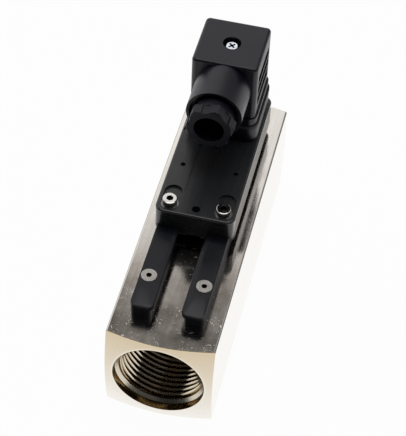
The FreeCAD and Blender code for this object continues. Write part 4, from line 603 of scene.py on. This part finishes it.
def select_edges(piece, chosen):
    """Goes into edit mode with those edges selected for whose two ends chosen(first, second) is true."""
    only(piece)
    bpy.ops.object.mode_set(mode="EDIT")
    bpy.ops.mesh.select_mode(type="EDGE")
    bpy.ops.mesh.select_all(action="DESELECT")
    bpy.ops.object.mode_set(mode="OBJECT")
    corners = piece.data.vertices
    for edge in piece.data.edges:
        first, second = edge.vertices
        edge.select = chosen(corners[first].co, corners[second].co)
    bpy.ops.object.mode_set(mode="EDIT")


def bevel_edges(piece, chosen, offset, segments):
    """Bevels the chosen edges and goes back to object mode."""
    select_edges(piece, chosen)
    bpy.ops.mesh.bevel(offset=offset, segments=segments, affect="EDGES")
    bpy.ops.object.mode_set(mode="OBJECT")


def combine(piece, other, operation="DIFFERENCE"):
    """Cuts the other shape out of the piece, or with UNION adds it to the piece, and deletes the other."""
    apply_modifier(piece, "BOOLEAN", operation=operation, object=other, solver="EXACT")
    only(other)
    bpy.ops.object.delete()


def join(piece, other):
    """Makes the other part of the piece, as a shell of its own."""
    only(piece)
    other.select_set(True)
    bpy.ops.object.join()


def outline(points):
    """A closed line through those points, to be swept."""
    piece = start_piece(bpy.ops.mesh.primitive_circle_add, vertices=len(points), radius=1.0)
    for vertex, point in zip(piece.data.vertices, points):
        vertex.co = point
    return piece


def sweep(piece, axis, steps, **settings):
    """Sweeps a closed line once round an axis, or in a helix where settings give an offset and turns."""
    apply_modifier(piece, "SCREW", axis=axis, angle=math.tau, steps=steps, render_steps=steps,
                   use_merge_vertices=True, merge_threshold=1e-6, **settings)


def face_out(piece, close_ends=False):
    """Turns the faces of a swept piece outwards, once its open ends are closed where it has any."""
    only(piece)
    bpy.ops.object.mode_set(mode="EDIT")
    if close_ends:
        bpy.ops.mesh.select_all(action="DESELECT")
        bpy.ops.mesh.select_non_manifold()
        bpy.ops.mesh.edge_face_add()
    bpy.ops.mesh.select_all(action="SELECT")
    bpy.ops.mesh.normals_make_consistent(inside=False)
    bpy.ops.object.mode_set(mode="OBJECT")


def settle(piece, name, body, slot, finish=None, crisp=25):
    """Smooths a piece, apart from edges sharper than crisp degrees, puts its place in its mesh, names and
    dresses it and makes it ride on its body."""
    only(piece)
    bpy.ops.object.shade_smooth_by_angle(angle=math.radians(crisp))
    apply_place()
    piece.name = name
    piece.data.name = name
    dress(piece, finish or slot)
    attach(piece, body)


class FLOWSWITCH_OT_finishes(Operator):
    """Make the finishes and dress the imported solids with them"""
    bl_idname = "flow_switch.finishes"
    bl_label = "Finishes"

    def execute(self, context):
        make_materials(context.scene.flow_switch_colours)
        for row in frame["record"]["subparts"]:
            node = row["node"]
            dress(frame["nodes"][node], NODE_FINISHES.get(node, row["material_slot"]))
        return {"FINISHED"}


class FLOWSWITCH_OT_port_threads(Operator):
    """Add the internal pipe thread and the chamfer of both ports"""
    bl_idname = "flow_switch.port_threads"
    bl_label = "Port threads"

    def execute(self, context):
        sizes = context.scene.flow_switch_sizes
        for name, side in (("inlet", -1), ("outlet", 1)):
            self.thread(sizes, name + "_thread", side)
            self.chamfer(sizes, name + "_chamfer", side)
        return {"FINISHED"}

    def chamfer(self, sizes, name, side):
        """Ring with a slanting face, just before the first thread."""
        face = side * (PIPE_HIGH.y - sizes.chamfer_depth)
        end = face - side * sizes.chamfer_size
        wide = sizes.chamfer_radius
        piece = outline([(wide, face, 0.0), (wide, end, 0.0), (wide - sizes.chamfer_size, end, 0.0)])
        sweep(piece, "Y", 96)
        face_out(piece)
        piece.data.transform(RAISE_TO_FLOW)
        settle(piece, name, "pipe_body", "nickel_plated_brass", "bright_chamfer")

    def thread(self, sizes, name, side):
        """One ridge, swept along the port's axis and cut off square at both ends."""
        pitch, root, crest = sizes.thread_pitch, sizes.thread_root, sizes.thread_crest
        outer = PIPE_HIGH.y - sizes.thread_start
        inner = outer - sizes.thread_length
        flank, tip = pitch * 0.49, pitch * 0.14      # half widths of the ridge at its foot and shoulder
        foot, shoulder = root - 0.1 * MM, crest + 0.16 * MM
        ridge = [(root, -flank), (foot, -flank), (shoulder, -tip), (crest, -tip * 0.4),
                 (crest, tip * 0.4), (shoulder, tip), (foot, flank), (root, flank)]
        piece = outline([(reach, inner - pitch + along, 0.0) for reach, along in ridge])
        sweep(piece, "Y", 72, screw_offset=pitch, iterations=math.ceil(sizes.thread_length / pitch) + 2)
        bpy.ops.object.mode_set(mode="EDIT")
        for place, clear_outer in ((inner, False), (outer, True)):
            bpy.ops.mesh.select_all(action="SELECT")
            bpy.ops.mesh.bisect(plane_co=(0, place, 0), plane_no=(0, 1, 0), use_fill=True,
                                clear_inner=not clear_outer, clear_outer=clear_outer, threshold=1e-7)
        bpy.ops.object.mode_set(mode="OBJECT")
        face_out(piece)
        if side < 0:
            piece.data.transform(Matrix.Rotation(math.pi, 4, "Z"))
        piece.data.transform(RAISE_TO_FLOW)
        settle(piece, name, "pipe_body", "nickel_plated_brass")


class FLOWSWITCH_OT_return_spring(Operator):
    """Wind the return spring from round wire"""
    bl_idname = "flow_switch.return_spring"
    bl_label = "Return spring"

    def execute(self, context):
        sizes = context.scene.flow_switch_sizes
        wire, turns = sizes.wire_radius, sizes.spring_turns
        reach = SPRING_HIGH.y - SPRING_LOW.y
        piece = start_piece(bpy.ops.mesh.primitive_circle_add, vertices=12, radius=wire)
        for vertex in piece.data.vertices:
            vertex.co = (vertex.co.x + sizes.spring_radius, vertex.co.y + SPRING_LOW.y + wire, 0.0)
        sweep(piece, "Y", 48, screw_offset=(reach - 2 * wire) / turns, iterations=turns)
        face_out(piece, close_ends=True)
        piece.data.transform(RAISE_TO_FLOW)
        settle(piece, "wound_spring", "pipe_body", "spring_steel", crisp=40)
        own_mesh(piece)
        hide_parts("return_spring")
        return {"FINISHED"}


class FLOWSWITCH_OT_rails(Operator):
    """Mould the two rails with round ends and countersunk holes"""
    bl_idname = "flow_switch.rails"
    bl_label = "Rails"

    def execute(self, context):
        sizes = context.scene.flow_switch_sizes
        ledge, inset = sizes.rail_ledge, sizes.rail_inset
        for name, side, left, right in (("left", -1, ledge, inset), ("right", 1, inset, ledge)):
            low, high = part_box("rail_" + name)
            under = high.z - sizes.rail_flange
            foot = low + Vector((left, ledge, 0.0))
            top = Vector((high.x - right, high.y - ledge, under + sizes.rail_flange / 2))
            web = self.block(foot, top, sizes.web_round)
            rail = self.block(Vector((low.x, low.y, under)), high, sizes.flange_round)
            bevel_edges(rail, above(high.z), sizes.rail_rim, 2)
            combine(rail, web, "UNION")
            for end in (-1, 1):
                self.hole(sizes, rail, side * SINK_X, end * SINK_Y, low.z, high.z)
            settle(rail, "moulded_rail_" + name, "pipe_body", "rail_plastic")
            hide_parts("rail_" + name)
        return {"FINISHED"}

    def block(self, low, high, corner):
        """Block between two corners, with its upright edges rounded."""
        block = start_piece(bpy.ops.mesh.primitive_cube_add, size=1.0, location=(low + high) / 2)
        block.scale = high - low
        apply_place()
        bevel_edges(block, lambda first, second: abs(first.z - second.z) > TINY, corner, 6)
        return block

    def hole(self, sizes, rail, x, y, low, high):
        """Clearance hole, with a cone for the screw's head that is cut a little past both its ends."""
        bore, mouth = sizes.screw_crest + sizes.hole_gap, SUNK_HEAD + sizes.hole_gap
        depth = mouth - bore
        past = depth / 4
        combine(rail, start_piece(bpy.ops.mesh.primitive_cylinder_add, vertices=48, radius=bore,
                                  depth=2 * (high - low), location=(x, y, high)))
        combine(rail, start_piece(bpy.ops.mesh.primitive_cone_add, vertices=48, radius1=bore - past,
                                  radius2=mouth + past, depth=depth + 2 * past,
                                  location=(x, y, high - depth / 2)))


def turned_head(x, y, top, radius, height, rim):
    """Round screw head with a flat top and a bevelled rim."""
    head = start_piece(bpy.ops.mesh.primitive_cylinder_add, vertices=64, radius=radius, depth=height,
                       location=(x, y, top - height / 2))
    apply_place()
    bevel_edges(head, above(top), rim, 2)
    return head


def threaded_shank(sizes, x, y, low, high):
    """Core of a screw with the ridge of its thread wound round the lower part."""
    pitch, crest = sizes.screw_pitch, sizes.screw_crest
    root = crest - 0.6 * pitch
    point = root / 3
    core = start_piece(bpy.ops.mesh.primitive_cylinder_add, vertices=32, radius=root, depth=high - low,
                       location=(x, y, (low + high) / 2))
    apply_place()
    bevel_edges(core, below(low), point, 1)
    flank, start = 0.46 * pitch, low + point + pitch
    foot = root - 0.1 * MM      # inside the core, so that no gap shows
    rim = [(foot, -flank), (crest, -flank / 5), (crest, flank / 5), (foot, flank)]
    ridge = outline([(reach, 0.0, start + along) for reach, along in rim])
    turns = int(min(sizes.threaded, high - start - pitch) / pitch)
    sweep(ridge, "Z", 24, screw_offset=pitch, iterations=turns)
    face_out(ridge, close_ends=True)
    ridge.data.transform(Matrix.Translation((x, y, 0.0)))
    join(core, ridge)
    return core


class FLOWSWITCH_OT_centre_screw(Operator):
    """Cut the cross-recess screw that holds the plug, with its thread"""
    bl_idname = "flow_switch.centre_screw"
    bl_label = "Centre screw"

    def execute(self, context):
        sizes = context.scene.flow_switch_sizes
        seat = CENTRE_HIGH.z - CENTRE_HEAD
        top = seat + sizes.head_height
        screw = turned_head(CENTRE_X, CENTRE_Y, top, sizes.head_radius, sizes.head_height, sizes.head_round)
        for turn in (math.pi / 4, 3 * math.pi / 4):
            combine(screw, self.wing(sizes, top, turn))
        join(screw, threaded_shank(sizes, CENTRE_X, CENTRE_Y, CENTRE_LOW.z, seat))
        settle(screw, "cross_recess_screw", "plug_screw", "zinc_plated_steel", crisp=SCREW_CRISP)
        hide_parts("centre_screw")
        return {"FINISHED"}

    def wing(self, sizes, top, turn):
        """One wing of the cross recess, narrower at its bottom."""
        wing = start_piece(bpy.ops.mesh.primitive_cube_add, size=1.0, location=(CENTRE_X, CENTRE_Y, top))
        wing.scale = (sizes.cross_length, sizes.cross_width, 2 * sizes.cross_depth)
        wing.rotation_euler.z = turn
        apply_place()
        select_edges(wing, below(top))
        bpy.ops.mesh.select_mode(type="VERT")
        bpy.ops.transform.resize(value=(CROSS_TAPER, CROSS_TAPER, 1.0))
        bpy.ops.object.mode_set(mode="OBJECT")
        return wing


class FLOWSWITCH_OT_clamp_screws(Operator):
    """Turn the two cap screws that clamp the head to its rails"""
    bl_idname = "flow_switch.clamp_screws"
    bl_label = "Clamp screws"

    def execute(self, context):
        sizes = context.scene.flow_switch_sizes
        low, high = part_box("clamp_screw_left")
        x, y = (low.x + high.x) / 2, (low.y + high.y) / 2
        left = turned_head(x, y, high.z, CLAMP_HEAD, sizes.cap_height, sizes.cap_bevel)
        combine(left, self.key(sizes, x, y, high.z))
        join(left, threaded_shank(sizes, x, y, low.z, high.z - sizes.cap_height))
        only(left)
        bpy.ops.object.duplicate(linked=False)
        right = bpy.context.active_object
        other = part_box("clamp_screw_right")[1]
        right.data.transform(Matrix.Translation((other.x - high.x, other.y - high.y, 0.0)))
        for screw, side in ((left, "left"), (right, "right")):
            settle(screw, "cap_screw_" + side, side + "_clamp_screw", "stainless_steel", "bright_screw",
                   SCREW_CRISP)
            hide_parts("clamp_screw_" + side)
        return {"FINISHED"}

    def key(self, sizes, x, y, top):
        """The hexagon socket."""
        key = start_piece(bpy.ops.mesh.primitive_cylinder_add, vertices=6, location=(x, y, top),
                          radius=sizes.key_flats / math.sqrt(3), depth=2 * sizes.key_depth)
        apply_place()
        return key


class FLOWSWITCH_OT_studio(Operator):
    """Set up the pale floor, the soft light and the camera"""
    bl_idname = "flow_switch.studio"
    bl_label = "Studio"

    def execute(self, context):
        studio = context.scene.flow_switch_studio
        self.floor()
        self.walls(context.scene, studio)
        self.lamp(context.scene, studio)
        self.camera(context.scene, studio)
        context.scene.view_settings.view_transform = "Standard"
        return {"FINISHED"}

    def floor(self):
        """Pale floor that shows white to the camera and keeps the object's soft shadow."""
        floor = start_piece(bpy.ops.mesh.primitive_plane_add, size=FLOOR_SIZE, location=(0, 0, 0))
        floor.name = "floor"
        material = bpy.data.materials.new("pale_floor")
        tree = empty_tree(material)
        ray = add(tree, "LightPath")
        paper = add(tree, "BsdfDiffuse", {"Color": (PAPER, PAPER, PAPER, 1.0)})
        white = add(tree, "Emission", {"Color": (1.0, 1.0, 1.0, 1.0), "Strength": 1.0})
        seen = add(tree, "Math", {0: ray.outputs["Is Camera Ray"], 1: ray.outputs["Is Glossy Ray"]},
                   operation="MAXIMUM")
        shown = add(tree, "Math", {0: seen, 1: ray.outputs["Is Transmission Ray"]}, operation="MAXIMUM")
        share = add(tree, "Math", {0: shown, 1: FLOOR_WHITE}, operation="MULTIPLY")
        floor.data.materials.append(finish_material(material, {0: share, 1: paper, 2: white}, "MixShader"))

    def walls(self, scene, studio):
        """Pale walls up to the edge of a darker ceiling, as the plated faces mirror them, with a dark side
        behind the camera and a dimmer corner at the right rear."""
        world = bpy.data.worlds.new("studio_walls")
        tree = empty_tree(world)
        direction = add(tree, "TexCoord")
        part = add(tree, "SeparateXYZ", {0: direction.outputs["Generated"]})
        edge = add(tree, "ValToRGB", {0: part.outputs["Z"]})
        self.bands(edge.color_ramp, studio)
        front = add(tree, "MapRange", {0: part.outputs["Y"], "From Min": DARK_FRONT, "From Max": LIT_FRONT,
                                       "To Min": studio.front_light, "To Max": 1.0},
                    interpolation_type="SMOOTHSTEP")
        corner = add(tree, "Math", {0: part.outputs["X"], 1: part.outputs["Y"]}, operation="MULTIPLY")
        doorway = add(tree, "MapRange", {0: corner, "From Min": DOOR_EDGE, "From Max": DOOR,
                                         "To Min": 1.0, "To Max": studio.doorway_light},
                      interpolation_type="SMOOTHSTEP")
        share = add(tree, "Math", {0: front, 1: doorway}, operation="MULTIPLY")
        around = add(tree, "VectorMath", {0: edge, "Scale": share}, operation="SCALE")
        ray = add(tree, "LightPath")
        seen = add(tree, "Math", {0: ray.outputs["Is Camera Ray"], 1: ray.outputs["Is Transmission Ray"]},
                   operation="MAXIMUM")
        colour = add(tree, "Mix", {0: seen, FROM: around, TO: (1, 1, 1, 1)}, data_type="RGBA")
        light = add(tree, "Background", {"Color": colour.outputs[MIXED], "Strength": 1.0})
        add(tree, "OutputWorld", {"Surface": light})
        scene.world = world

    def bands(self, ramp, studio):
        """Brightness from the walls over their warm upper edge to the ceiling, by upward direction."""
        wall, ceiling = studio.wall_light, studio.ceiling_light
        fill_ramp(ramp, [(WALL_TOP, (wall, wall, wall)), *CEILING_EDGE,
                         (CEILING, (ceiling, ceiling, ceiling))])

    def lamp(self, scene, studio):
        """Square soft lamp overhead, which looks at the middle of the floor."""
        light = bpy.data.lights.new("top_lamp", "AREA")
        light.shape = "SQUARE"
        light.size = LAMP_SIZE
        light.energy = studio.lamp_power
        lamp = bpy.data.objects.new("top_lamp", light)
        lamp.location = LAMP_PLACE
        lamp.rotation_euler = (Vector() - LAMP_PLACE).to_track_quat("-Z", "Y").to_euler()
        scene.collection.objects.link(lamp)

    def camera(self, scene, studio):
        """Camera at the photograph's place, turn and lens."""
        data = bpy.data.cameras.new("camera")
        data.sensor_fit = "VERTICAL"
        data.sensor_height = SENSOR
        data.lens = studio.lens
        camera = bpy.data.objects.new("camera", data)
        turn = Matrix((CAMERA_RIGHT, CAMERA_UP, CAMERA_BACK)).transposed().to_4x4()
        camera.matrix_world = Matrix.Translation(CAMERA_PLACE) @ turn
        scene.collection.objects.link(camera)
        scene.camera = camera


class FLOWSWITCH_PT_panel(Panel):
    """Lists the sizes, the colours and the steps"""
    bl_label = "Flow Switch"
    bl_idname = "FLOWSWITCH_PT_panel"
    bl_space_type = "VIEW_3D"
    bl_region_type = "UI"
    bl_category = "Flow Switch"

    def draw(self, context):
        for group in GROUPS:
            values = getattr(context.scene, group)
            box = self.layout.box()
            for key in values.__annotations__:
                box.prop(values, key)
        for step in STEPS:
            self.layout.operator(step.bl_idname)


STEPS = (FLOWSWITCH_OT_finishes, FLOWSWITCH_OT_port_threads, FLOWSWITCH_OT_return_spring,
         FLOWSWITCH_OT_rails, FLOWSWITCH_OT_centre_screw, FLOWSWITCH_OT_clamp_screws,
         FLOWSWITCH_OT_studio)
GROUPS = {"flow_switch_sizes": FlowSwitchSizes, "flow_switch_colours": FlowSwitchColours,
          "flow_switch_studio": FlowSwitchStudio}
CLASSES = (*GROUPS.values(), *STEPS, FLOWSWITCH_PT_panel)


def register():
    """Registers the classes and hangs the settings on the scene."""
    for item in CLASSES:
        bpy.utils.register_class(item)
    for group, settings in GROUPS.items():
        setattr(bpy.types.Scene, group, PointerProperty(type=settings))


def unregister():
    """Takes the settings and the classes away again."""
    for group in GROUPS:
        delattr(bpy.types.Scene, group)
    for item in reversed(CLASSES):
        bpy.utils.unregister_class(item)


def main():
    """Registers the add-on and builds the looks step by step."""
    register()
    for step in STEPS:
        group, operator = step.bl_idname.split(".")
        getattr(getattr(bpy.ops, group), operator)()


if __name__ == "__main__":
    main()
